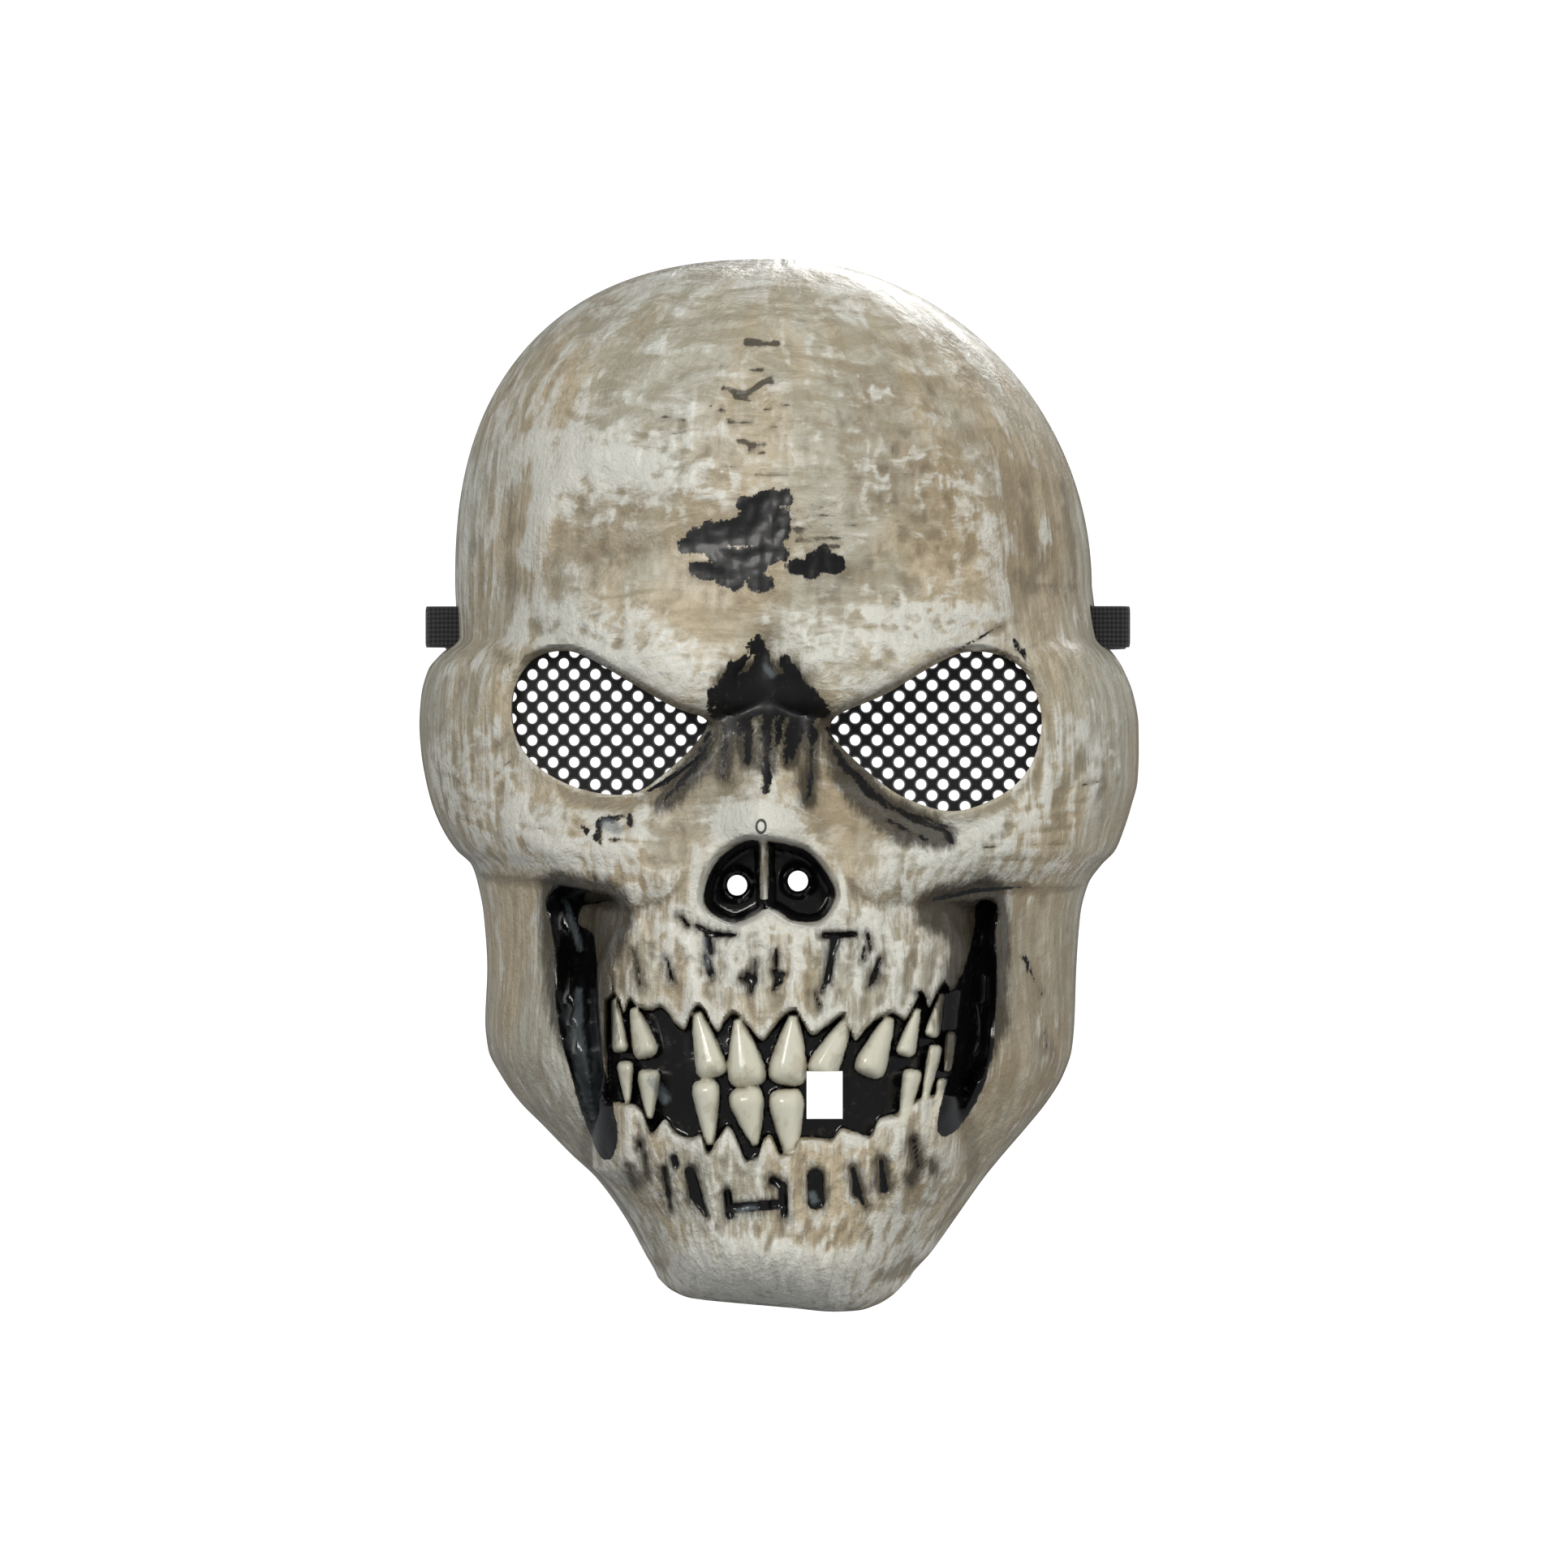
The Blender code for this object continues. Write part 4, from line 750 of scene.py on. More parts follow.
def distance_outside(x, z, curve):
    """Distance from a closed curve, below zero inside it."""
    nearest = np.full(np.shape(x), np.inf)
    inside = np.zeros(np.shape(x), bool)
    for (ax, az), (bx, bz) in zip(curve, np.roll(curve, -1, 0)):
        ex, ez = bx - ax, bz - az
        t = nearest_share(x, z, ax, az, ex, ez)
        nearest = np.minimum(nearest, np.hypot(x - ax - t * ex, z - az - t * ez))
        if ez != 0.0:
            crosses = (az > z) != (bz > z)
            inside ^= crosses & (x < ax + (z - az) / ez * ex)
    return np.where(inside, -nearest, nearest)


def ridge(x, z, rows, crisp=0.0):
    """Height of a rounded ridge along a line of points. A crisp one ends in an edge on its lower side."""
    height = np.zeros(np.shape(x))
    for start, end in zip(rows[:-1], rows[1:]):
        ax, az = start[0] * mask_width / 2, start[1] * mask_height
        ex, ez = end[0] * mask_width / 2 - ax, end[1] * mask_height - az
        t = nearest_share(x, z, ax, az, ex, ez)
        dx, dz = x - ax - t * ex, z - az - t * ez
        above = start[2] + (end[2] - start[2]) * t
        below = start[3] + (end[3] - start[3]) * t
        top = start[4] + (end[4] - start[4]) * t
        away = np.hypot(2.0 * dx / (above + below), dz / np.where(dz > 0, above, below))
        fall = 1.0 - smooth_step(0.0, 1.0, away)
        if crisp > 0.0:
            underside = crisp * (1.0 - smooth_step(-0.8, 0.0, dz / np.maximum(np.hypot(dx, dz), 1e-9)))
            fall += (1.0 - np.clip(away, 0.0, 1.0) ** 3 - fall) * underside
        height = np.maximum(height, top * fall)
    return height


def lumps(x, z, size, seed):
    """Soft random swells of one size, between -1 and 1."""
    table = np.random.default_rng(seed).uniform(-1.0, 1.0, (512, 512))
    lean = 0.4 + 0.7 * seed
    u = (x * math.cos(lean) + z * math.sin(lean)) / size + 250.0
    v = (z * math.cos(lean) - x * math.sin(lean)) / size + 250.0
    i, j = np.floor(u).astype(int), np.floor(v).astype(int)
    a, b = u - i, v - j
    a, b = a * a * (3.0 - 2.0 * a), b * b * (3.0 - 2.0 * b)
    i, j = i % 511, j % 511
    low = table[i, j] * (1.0 - a) + table[i + 1, j] * a
    high = table[i, j + 1] * (1.0 - a) + table[i + 1, j + 1] * a
    return low * (1.0 - b) + high * b


def wrinkles(x, z, size, seed):
    """Winding crests of one size with rounded valleys between them, between -1 and 1."""
    bent = x + 0.5 * size * lumps(x, z, 1.7 * size, seed + 20)
    return 1.0 - 2.6 * np.abs(lumps(bent, z, size, seed))


def strokes(x, z, rows):
    """Distance from brush strokes, below zero inside them: two ends and a radius at each."""
    nearest = np.full(np.shape(x), 1.0)
    for start_x, start_up, end_x, end_up, start_r, end_r in rows:
        ax, az = start_x * mask_width / 2, start_up * mask_height
        ex, ez = end_x * mask_width / 2 - ax, end_up * mask_height - az
        t = nearest_share(x, z, ax, az, ex, ez)
        radius = (start_r + (end_r - start_r) * t) * 0.001
        nearest = np.minimum(nearest, np.hypot(x - ax - t * ex, z - az - t * ez) - radius)
    return nearest


def tooth_outside(x, z, tooth):
    """Distance from a tooth's outline, below zero inside it, and how far along the tooth a point lies."""
    root_x, tip_x = tooth[0] * mask_width / 2, tooth[2] * mask_width / 2
    root_z, tip_z = tooth[1] * mask_height, tooth[3] * mask_height
    root_r, tip_r = tooth[4] * mask_width / 2, tooth[5] * mask_width / 2
    length = math.hypot(tip_x - root_x, tip_z - root_z)
    along_x, along_z = (tip_x - root_x) / length, (tip_z - root_z) / length
    along = (x - root_x) * along_x + (z - root_z) * along_z
    aside = np.abs((x - root_x) * along_z - (z - root_z) * along_x)
    t = np.clip(along / length, 0.0, 1.0)
    radius = root_r + (tip_r - root_r) * t ** 0.8
    beyond = np.maximum(np.maximum(-along, along - length), 0.0)
    return (aside ** 3.4 + beyond ** 3.4) ** (1.0 / 3.4) - radius, t, radius


def mouth_depths(x, z):
    """Distance inside the mouth from its gums, and the distance outside the nearest tooth."""
    across = x / (mask_width / 2)
    below_gum = read_table(GUM_UPPER, 1, across) * mask_height - z
    above_gum = z - read_table(GUM_LOWER, 1, across) * mask_height
    from_left = (across + mouth_left) * mask_width / 2
    from_right = (mouth_right - across) * mask_width / 2
    inside = np.minimum(np.minimum(below_gum, above_gum) * 0.8, np.minimum(from_left, from_right))
    nearest = np.full(np.shape(x), 1.0)
    share = np.zeros(np.shape(x))
    for tooth in TEETH:
        outside, t, radius = tooth_outside(x, z, tooth)
        nearest = np.minimum(nearest, outside)
        inner = np.clip(-outside / (0.85 * radius), 0.0, 1.0)
        swell = np.sqrt(1.0 - (1.0 - inner) ** 2) * (0.74 + 0.26 * t)
        share = np.maximum(share, swell)
    return inside, nearest, share


def tooth_roots(x, z):
    """Soft swells of the gums over the teeth's roots."""
    swell = np.zeros(np.shape(x))
    for tooth in TEETH:
        length = math.hypot((tooth[2] - tooth[0]) * mask_width / 2, (tooth[3] - tooth[1]) * mask_height)
        step = root_length / length
        away = tooth[0] - (tooth[2] - tooth[0]) * step * 0.5, tooth[1] - (tooth[3] - tooth[1]) * step
        rows = [
            (tooth[0], tooth[1], 0.0036, 0.0036, root_swell),
            (away[0], away[1], 0.0030, 0.0030, 0.4 * root_swell),
        ]
        swell = np.maximum(swell, ridge(x, z, rows))
    return swell


def surface_way(x, z):
    """Distance along the face from its middle line, so a pattern doesn't stretch over the sides."""
    wide = np.where(x < 0, half_width(z, LEFT), half_width(z, RIGHT))
    share = np.clip(np.abs(x) / np.maximum(wide, 1e-6), 0.0, 1.0)
    return np.sign(x) * np.arcsin(share * math.sin(side_turn)) * mask_width * 0.5


def socket_recess(x):
    """Depth of the eye sockets, shallower towards the temples."""
    share = np.abs(x) / (mask_width / 2)
    return socket_depth * (1.0 - 0.45 * smooth_step(0.35, 0.75, share))


def face_front(x, z):
    """How far forward the finished face stands, with all its relief."""
    bare = bare_front(x, z)
    across, up = x / (mask_width / 2), z / mask_height
    front = bare.copy()
    for rows in (BROW_LEFT, BROW_RIGHT, CHEEK_LEFT, CHEEK_RIGHT):
        front += ridge(x, z, rows, 1.0)
    front += ridge(x, z, TEMPLE_LEFT) + ridge(x, z, TEMPLE_RIGHT)
    front += ridge(x, z, NASAL) + ridge(x, z, NOSE_SIDES) + ridge(-x, z, NOSE_SIDES)
    front += ridge(x, z, CHIN) * smooth_step(0.0, chin_round, z - chin_height(x))
    temple = smooth_step(0.60, 0.75, np.abs(across)) * (1.0 - smooth_step(0.80, 0.93, np.abs(across)))
    front -= temple_dip * temple * smooth_step(0.08, 0.14, up) * (1.0 - smooth_step(0.20, 0.30, up))

    notch = distance_outside(x, z, closed_curve(NOTCH))
    front -= notch_depth * (1.0 - smooth_step(-notch_edge / 2, notch_edge / 2, notch))

    for outline in (HOLLOW_LEFT, HOLLOW_RIGHT):
        edge = distance_outside(x, z, closed_curve(outline))
        hollow = 1.0 - smooth_step(-hollow_edge, 0.0, edge)
        front += (bare - hollow_depth - front) * hollow

    wide = np.where(x < 0, half_width(z, LEFT), half_width(z, RIGHT))
    reach = np.abs(x) / np.minimum(np.where(x < 0, jaw_left, jaw_right), jaw_share * wide)
    middle = read_table(PROFILE, 1, up) * mask_depth - rim_back
    jaw = middle - jaw_drop * (1.0 - np.sqrt(np.maximum(1.0 - reach ** jaw_power, 0.0)))
    jaw = np.where(reach < 1.0, jaw, -rim_back)
    jaw_zone = smooth_step(0.0, jaw_fade, z - chin_height(x)) * (1.0 - smooth_step(-0.185, -0.165, up))
    front += np.maximum(jaw - front, 0.0) * jaw_zone

    for rows in PILLARS:
        front += ridge(x, z, rows)

    inside, outside_teeth, share = mouth_depths(x, z)
    gap = smooth_step(-gum_edge, gum_edge, inside)
    front += tooth_roots(x, z) * (1.0 - gap)
    floor = lumps(x, z * 0.4, 0.0022, 11) * 0.00020
    front += (tooth_rise * share - mouth_recess + floor * (1.0 - share)) * gap

    way = surface_way(x, z)
    calm = smooth_step(0.0, 0.001, outside_teeth) * (1.0 - gap)
    rough = 0.00045 * lumps(way, z, 0.0110, 1) + 0.00022 * lumps(way, z, 0.0052, 2)
    rough += 0.00010 * lumps(way, z, 0.0024, 3) + 0.00011 * lumps(way, z * 0.20, 0.0015, 4)
    knobby = np.zeros(np.shape(x))
    for rows in KNOBBY:
        knobby = np.maximum(knobby, ridge(x, z, rows))
    knobs = 0.00042 * wrinkles(way, z, 0.0052, 5) + 0.00024 * wrinkles(way, z * 1.3, 0.0029, 6)
    knobs += 0.00013 * lumps(way, z, 0.0017, 7)
    front += (rough + knobs * knobby) * calm

    for rows, depth, edge in (
        (FOREHEAD_CREASES, crease_depth, 0.0006),
        (CORNER_CREASES, crease_depth, 0.0007),
        (GUM_MARKS, mark_depth, 0.0006),
        (JAW_MARKS, mark_depth, 0.0007),
        (WOUND_INK, wound_depth, 0.0008),
    ):
        front -= depth * (1.0 - smooth_step(-edge, edge, strokes(x, z, rows)))

    nose = distance_outside(x, z, closed_curve(NOSE, crisp_steps))
    nose_share = 1.0 - smooth_step(-nose_edge, nose_edge / 2, nose)
    floor = bare - nose_depth + (nose_depth - septum_drop) * ridge(x, z, SEPTUM)
    for across_vent, up_vent in VENTS:
        from_vent = np.hypot(x - across_vent * mask_width / 2, z - up_vent * mask_height)
        floor += 0.0010 * np.exp(-((from_vent - vent_radius - 0.0008) / 0.0007) ** 2)
    front += (floor - front) * nose_share

    for outline in (EYE_LEFT, EYE_RIGHT):
        curve = closed_curve(outline, crisp_steps)
        eye = distance_outside(x, z, curve)
        climb = distance_outside(x, z + 0.001, curve) - distance_outside(x, z - 0.001, curve)
        over = smooth_step(-0.0008, 0.0014, climb)
        rim = socket_rim + (brow_rim - socket_rim) * over
        recess = socket_recess(x) * (low_recess + (1.0 - low_recess) * over)
        front += (bare - recess - front) * (1.0 - smooth_step(0.0, 1.0, eye / rim))
        lip = eye_lip_height * (1.0 - over)
        front += lip * (1.0 - smooth_step(0.0, eye_lip_width, np.abs(eye - 0.0004)))

    at_rim = smooth_step(0.95, 1.0, np.abs(x) / np.maximum(wide, 1e-6))
    return front + (bare - front) * at_rim


def grid_rows():
    """Heights of the surface's rows at the sides of the mask, from the chin's corners up."""
    rows = [chin_corner_up]
    for top, count in ROW_BANDS:
        rows.extend(np.linspace(rows[-1], top, count + 1)[1:])
    return np.array(rows) * mask_height


def grid_columns():
    """Places of the surface's columns, from -1 at the left rim to 1 at the right rim."""
    middle_turn = math.asin(middle_share * math.sin(side_turn))
    half_middle = middle_columns // 2
    half_all = columns // 2
    turns = np.concatenate([
        np.linspace(0.0, middle_turn, half_middle + 1),
        np.linspace(middle_turn, side_turn, half_all - half_middle + 1)[1:],
    ])
    shares = np.sin(turns) / math.sin(side_turn)
    return np.concatenate([-shares[:0:-1], shares])


def surface_grid():
    """Front view of the surface's grid: x and z of every row and column."""
    rows, shares = grid_rows(), grid_columns()
    left, right = half_width(rows, LEFT), half_width(rows, RIGHT)
    x = np.where(shares < 0, shares * left[:, None], shares * right[:, None])
    crown = crown_height(x[-1]) - rows[-1]
    crown[[0, -1]] = 0.0
    chin = chin_height(x[0]) - rows[0]
    chin[[0, -1]] = 0.0
    lift = np.clip((rows / mask_height - lift_up) / (corner_up - lift_up), 0.0, 1.0)
    sink = np.clip((sink_up - rows / mask_height) / (sink_up - chin_corner_up), 0.0, 1.0)
    z = rows[:, None] + lift[:, None] * crown + sink[:, None] * chin
    return x, z


def around(values, reach, pick):
    """One value, such as the lowest or the mean, of the cells within a few cells of each cell."""
    for axis in (0, 1):
        padded = np.pad(values, [(reach, reach) if k == axis else (0, 0) for k in (0, 1)], mode="edge")
        count = values.shape[axis]
        parts = [np.take(padded, range(k, k + count), axis=axis) for k in range(2 * reach + 1)]
        values = pick(parts, axis=0)
    return values


def new_mesh(name, points, faces):
    """A mesh of points and faces."""
    mesh = bpy.data.meshes.new(name)
    mesh.from_pydata([tuple(p) for p in points], [], faces)
    return mesh


def new_piece(name, mesh, *materials):
    """Put a mesh in the scene as a piece with its materials."""
    for material in materials:
        mesh.materials.append(material)
    piece = bpy.data.objects.new(name, mesh)
    bpy.context.scene.collection.objects.link(piece)
    return piece


def strip_faces(fine, coarse, step):
    """Faces between a fine edge and a coarse one, with step fine cells to each coarse cell."""
    faces = []
    for k in range(len(coarse) - 1):
        start = k * step
        half = start + step // 2
        for i in range(start, half):
            faces.append((fine[i + 1], fine[i], coarse[k]))
        faces.append((fine[half], coarse[k], coarse[k + 1]))
        for i in range(half, start + step):
            faces.append((fine[i + 1], fine[i], coarse[k + 1]))
    return faces


def cell_faces(*corners):
    """A four-sided face for each cell of a grid, from the numbers of its corners."""
    return np.stack(corners, -1).reshape(-1, 4).tolist()


def closed_shell():
    """The whole wall without its openings: painted face, plain back and the rim that joins them."""
    x, z = surface_grid()
    bare, front = bare_front(x, z), face_front(x, z)
    relief = front - bare
    outer = np.stack([x, -front, z], axis=-1)
    inner = np.stack([x, -bare, z], axis=-1) - outward(x, z) * wall
    inner[..., 1] -= around(relief, back_step, np.min)
    inner = inner[::back_step, ::back_step]
    hollow = around(front, settle_reach, np.mean) - front
    rows, cols = x.shape
    back_rows, back_cols = inner.shape[:2]
    number = np.arange(rows * cols).reshape(rows, cols)
    back = np.arange(back_rows * back_cols).reshape(back_rows, back_cols) + rows * cols
    faces = cell_faces(number[:-1, :-1], number[:-1, 1:], number[1:, 1:], number[1:, :-1])
    painted = len(faces)
    faces += cell_faces(back[1:, :-1], back[1:, 1:], back[:-1, 1:], back[:-1, :-1])
    plain = len(faces)
    for edge in (
        (slice(0, 1), slice(None)),
        (slice(None), slice(-1, None)),
        (slice(-1, None), slice(None, None, -1)),
        (slice(None, None, -1), slice(0, 1)),
    ):
        faces += strip_faces(number[edge].ravel().tolist(), back[edge].ravel().tolist(), back_step)
    points = np.concatenate([outer.reshape(-1, 3), inner.reshape(-1, 3)])
    mesh = new_mesh("mask_face", points, faces)
    slots = np.zeros(len(faces), int)
    slots[painted:plain] = 1
    mesh.polygons.foreach_set("material_index", slots)
    return mesh, outer.reshape(-1, 3), hollow.ravel()


def prism(curve, near, far):
    """A cutter with a front-view outline, from one depth to another."""
    bm = bmesh.new()
    face = bm.faces.new([bm.verts.new((px, near, pz)) for px, pz in curve])
    pulled = bmesh.ops.extrude_face_region(bm, geom=[face])["geom"]
    moved = [v for v in pulled if isinstance(v, bmesh.types.BMVert)]
    bmesh.ops.translate(bm, verts=moved, vec=(0.0, far - near, 0.0))
    bmesh.ops.recalc_face_normals(bm, faces=bm.faces)
    return bm


def block(low, high):
    """A box cutter between two corners."""
    bm = bmesh.new()
    bmesh.ops.create_cube(bm, size=1.0)
    low, high = np.array(low), np.array(high)
    bmesh.ops.scale(bm, verts=bm.verts, vec=high - low)
    bmesh.ops.translate(bm, verts=bm.verts, vec=(low + high) / 2)
    return bm


def circle(center, radius, sides):
    """Points round a circle in the front view."""
    angles = [2.0 * math.pi * (k + 0.5) / sides for k in range(sides)]
    return np.array([(center[0] + radius * math.cos(a), center[1] + radius * math.sin(a)) for a in angles])


def opening_cutters():
    """One object with everything that is cut through the shell."""
    front, back = -mask_depth, rim_back * 0.4
    cuts = [
        prism(closed_curve(EYE_LEFT, crisp_steps), front, back),
        prism(closed_curve(EYE_RIGHT, crisp_steps), front, back),
    ]
    for across, up in VENTS:
        vent = circle((across * mask_width / 2, up * mask_height), vent_radius, vent_sides)
        cuts.append(prism(vent, front, back))
    (left, top), (right, bottom) = WINDOW
    cuts.append(block(
        (left * mask_width / 2, front, bottom * mask_height),
        (right * mask_width / 2, back, top * mask_height),
    ))
    for side in (-1.0, 1.0):
        near, far = sorted((side * mask_width * 0.36, side * mask_width * 0.60))
        middle = rim_back - slot_from_rim
        cuts.append(block(
            (near, middle - slot_width / 2, slot_low),
            (far, middle + slot_width / 2, slot_low + slot_height),
        ))
    points, faces = [], []
    for bm in cuts:
        bm.verts.index_update()
        start = len(points)
        points.extend(tuple(v.co) for v in bm.verts)
        faces.extend([start + v.index for v in f.verts] for f in bm.faces)
        bm.free()
    return new_piece("opening_cutters", new_mesh("opening_cutters", points, faces))


def cut_openings(mesh):
    """Cut the eyes, breathing holes, tooth gap and strap slots through the shell."""
    shell = new_piece("uncut_shell", mesh)
    cutter = opening_cutters()
    cut = shell.modifiers.new("openings", "BOOLEAN")
    cut.operation = "DIFFERENCE"
    cut.solver = "EXACT"
    cut.object = cutter
    result = bpy.data.meshes.new_from_object(shell.evaluated_get(bpy.context.evaluated_depsgraph_get()))
    bpy.data.objects.remove(shell)
    bpy.data.objects.remove(cutter)
    result.name = "mask_face"
    return result


def set_attribute(mesh, name, values):
    """Keep one number for each point of a mesh, for its paint to read."""
    layer = mesh.attributes.new(name, "FLOAT", "POINT")
    layer.data.foreach_set("value", np.ascontiguousarray(values, np.float32))


def clouds(x, z, size, seed):
    """Soft irregular clouds with finer ones in them, mostly between 0 and 1."""
    total = np.zeros(np.shape(x))
    for octave in range(4):
        total += lumps(x, z, size * 0.5 ** octave, seed + octave) * 0.62 ** octave
    return 0.5 + 0.42 * total


def lay(color, paint, share):
    """Lay one paint over a colour for every point, with a share between 0 and 1."""
    share = np.clip(share, 0.0, 1.0)[:, None]
    return color * (1.0 - share) + np.array(paint) * share


def paint_fields(mesh, outer, hollow):
    """Work out where each paint goes, for every point of the cut shell."""
    count = len(mesh.vertices)
    flat = np.empty(count * 3)
    mesh.vertices.foreach_get("co", flat)
    p = flat.reshape(-1, 3)
    x, z = p[:, 0], p[:, 2]
    across, up = x / (mask_width / 2), z / mask_height
    way = surface_way(x, z)

    inside, outside_teeth, teeth = mouth_depths(x, z)
    mouth = -np.minimum(inside - 0.0002, outside_teeth + 0.0001)
    nose = distance_outside(x, z, closed_curve(NOSE, crisp_steps))
    bridge_x = (SEPTUM[0][0] + (SEPTUM[1][0] - SEPTUM[0][0]) * 0.5) * mask_width / 2
    bridge = np.where(up > -0.172, 0.0009 - np.abs(x - bridge_x), -1.0)
    nose_ink = np.maximum(nose + 0.0004, bridge)
    left_hollow = distance_outside(x, z, closed_curve(HOLLOW_INK_LEFT, crisp_steps))
    right_hollow = distance_outside(x, z, closed_curve(HOLLOW_INK_RIGHT, crisp_steps))
    low_end = 0.0011 * smooth_step(-0.32, -0.37, up)
    left_hollow, right_hollow = left_hollow - low_end, right_hollow - low_end
    clean = np.minimum(np.minimum(mouth, nose_ink), np.minimum(left_hollow, right_hollow))
    # Painted shadow: black lines under the cheekbones, drawn with the black paint, and lines along the eyes
    # and the right brow's fold
    clean = np.minimum(clean, strokes(x, z, SHADOW_AND_EYE_LINES))

    fields = {}
    for name, table in (("washed", WASHED), ("pale", PALE_AND_HIGHLIGHT), ("olive", OLIVE)):
        fields[name] = np.clip(sum(ridge(x, z, rows) for rows in table), 0.0, 1.0)
    marks = np.minimum(strokes(x, z, GUM_MARKS), strokes(x, z, JAW_MARKS) - 0.0002)
    sharp = np.minimum(clean, marks + 0.0008 * fields["olive"])
    wound = np.maximum(strokes(x, z, WOUND_INK) - 0.0016, -strokes(x, z, WOUND_SLIT) - 0.0001)
    rough = np.minimum(np.minimum(strokes(x, z, BROW_INK) - 0.0003, strokes(x, z, STAIN_INK) - 0.0002), wound)
    rough = np.minimum(rough, np.minimum(strokes(x, z, CORNER_INK), strokes(x, z, FAINT_MARKS) + 0.0003))
    # Painted shade: darker lines along the creases
    creases = np.minimum(strokes(x, z, FOREHEAD_CREASES) + 0.0002, strokes(x, z, CORNER_CREASES) + 0.0006)
    # Brown smoke paint with painted shade: in the cheek hollows, round the marks and by the eyes' inner
    # corners
    smoke_and_shade = np.minimum(
        distance_outside(x, z, closed_curve(HOLLOW_SMOKE_AND_SHADE_LEFT, soft_steps)),
        distance_outside(x, z, closed_curve(HOLLOW_SMOKE_AND_SHADE_RIGHT, soft_steps)),
    )
    spread = 0.0050 * smooth_step(-0.37, -0.28, up) - 0.0015
    smoke_and_shade = np.minimum(smoke_and_shade - spread, marks - 0.0013)
    smoke_and_shade = np.minimum(smoke_and_shade, strokes(x, z, CORNER_SMOKE) - 0.0021)

    tree = KDTree(len(outer))
    for k, point in enumerate(outer):
        tree.insert(point, k)
    tree.balance()
    sunk = np.array([hollow[tree.find(v)[1]] for v in p]) * in_millimetres
    upright = smooth_step(0.50, 0.72, np.abs(across)) * smooth_step(-0.60, 0.0, up)
    upright += smooth_step(-0.10, -0.16, up)

    cloud = clouds(way, z * 0.8, 0.026, 30)
    mottle = clouds(way + 0.3 * z, z - 0.2 * way, 0.0095, 40)
    grit = clouds(way, z, 0.0026, 50)
    bone = smooth_step(0.30, 0.05, teeth)
    paint = lay(np.tile(BONE_WARM, (count, 1)), BONE_COOL, smooth_step(0.20, 0.80, cloud))
    washing = 0.10 + 0.62 * fields["washed"] + 0.50 * (mottle - 0.5) + 0.45 * (grit - 0.5)
    paint = lay(paint, WASH_BROWN, 0.60 * smooth_step(0.02, 0.86, washing))
    # Painted shade: darker where the surface lies sunk below its neighbours, on the bone and on the teeth
    recess_shade = smooth_step(0.03, 0.32, sunk + 0.10 * (grit - 0.5))
    paint = lay(paint, DEEP_WASH_AND_SHADE, 0.48 * recess_shade * bone)
    stain_and_shade = 0.25 * recess_shade + 0.30 * smooth_step(0.60, 0.85, grit)
    tooth_paint = lay(np.tile(TOOTH_IVORY, (count, 1)), WASH_BROWN, stain_and_shade)
    covered = smooth_step(0.16, 0.55, teeth)[:, None]
    paint = paint * (1.0 - covered) + tooth_paint * covered
    near_ink = np.minimum(clean, rough) * in_millimetres - 2.2 * mottle
    paint = lay(paint, DEEP_WASH_AND_SHADE, 0.42 * smooth_step(0.5, -1.6, near_ink) * bone)

    # Pale drybrush paint on the pale places and raised tops, where it also paints highlights; lighter on the
    # middle of the face below the eyes; and painted light on the upper left of the face
    drybrush_and_highlight = 0.30 * fields["pale"] + 0.20 * smooth_step(-0.02, -0.18, sunk) + 0.22 * (mottle - 0.5)
    drybrush_and_highlight += 0.10 * smooth_step(-0.04, -0.10, up) * smooth_step(0.62, 0.40, np.abs(across))
    drybrush_and_highlight += 0.05 + 0.12 * (grit - 0.5) + 0.05 * smooth_step(0.3, -0.8, across) * smooth_step(-0.4, 0.2, up)
    lacquered = smooth_step(0.0003, -0.0003, np.minimum(clean, np.minimum(marks, rough)))
    grain = np.minimum(0.12 + 0.88 * bone, 1.0 - 0.93 * lacquered)

    layer = mesh.attributes.new("paint", "FLOAT_COLOR", "POINT")
    layer.data.foreach_set("color", np.column_stack([paint, np.ones(count)]).astype(np.float32).ravel())
    distances = {"ink_and_shadow_sharp": sharp, "ink_rough": rough, "smoke_and_shade": smoke_and_shade,
                 "grey": strokes(x, z, GREY_SHEEN), "creases": creases}
    for name, distance in distances.items():
        set_attribute(mesh, name, np.clip(distance * in_millimetres, *paint_reach))
    set_attribute(mesh, "upright", np.clip(upright, 0.0, 1.0))
    set_attribute(mesh, "drybrush_and_highlight", drybrush_and_highlight)
    set_attribute(mesh, "grain", grain)


def turn_outward(mesh):
    """Make every face of a closed mesh point outwards."""
    bm = bmesh.new()
    bm.from_mesh(mesh)
    bmesh.ops.recalc_face_normals(bm, faces=bm.faces)
    bm.to_mesh(mesh)
    bm.free()


def smooth_piece(mesh, angle):
    """Shade a mesh smooth, with its sharp edges kept."""
    mesh.shade_smooth()
    mesh.set_sharp_from_angle(angle=math.radians(angle))


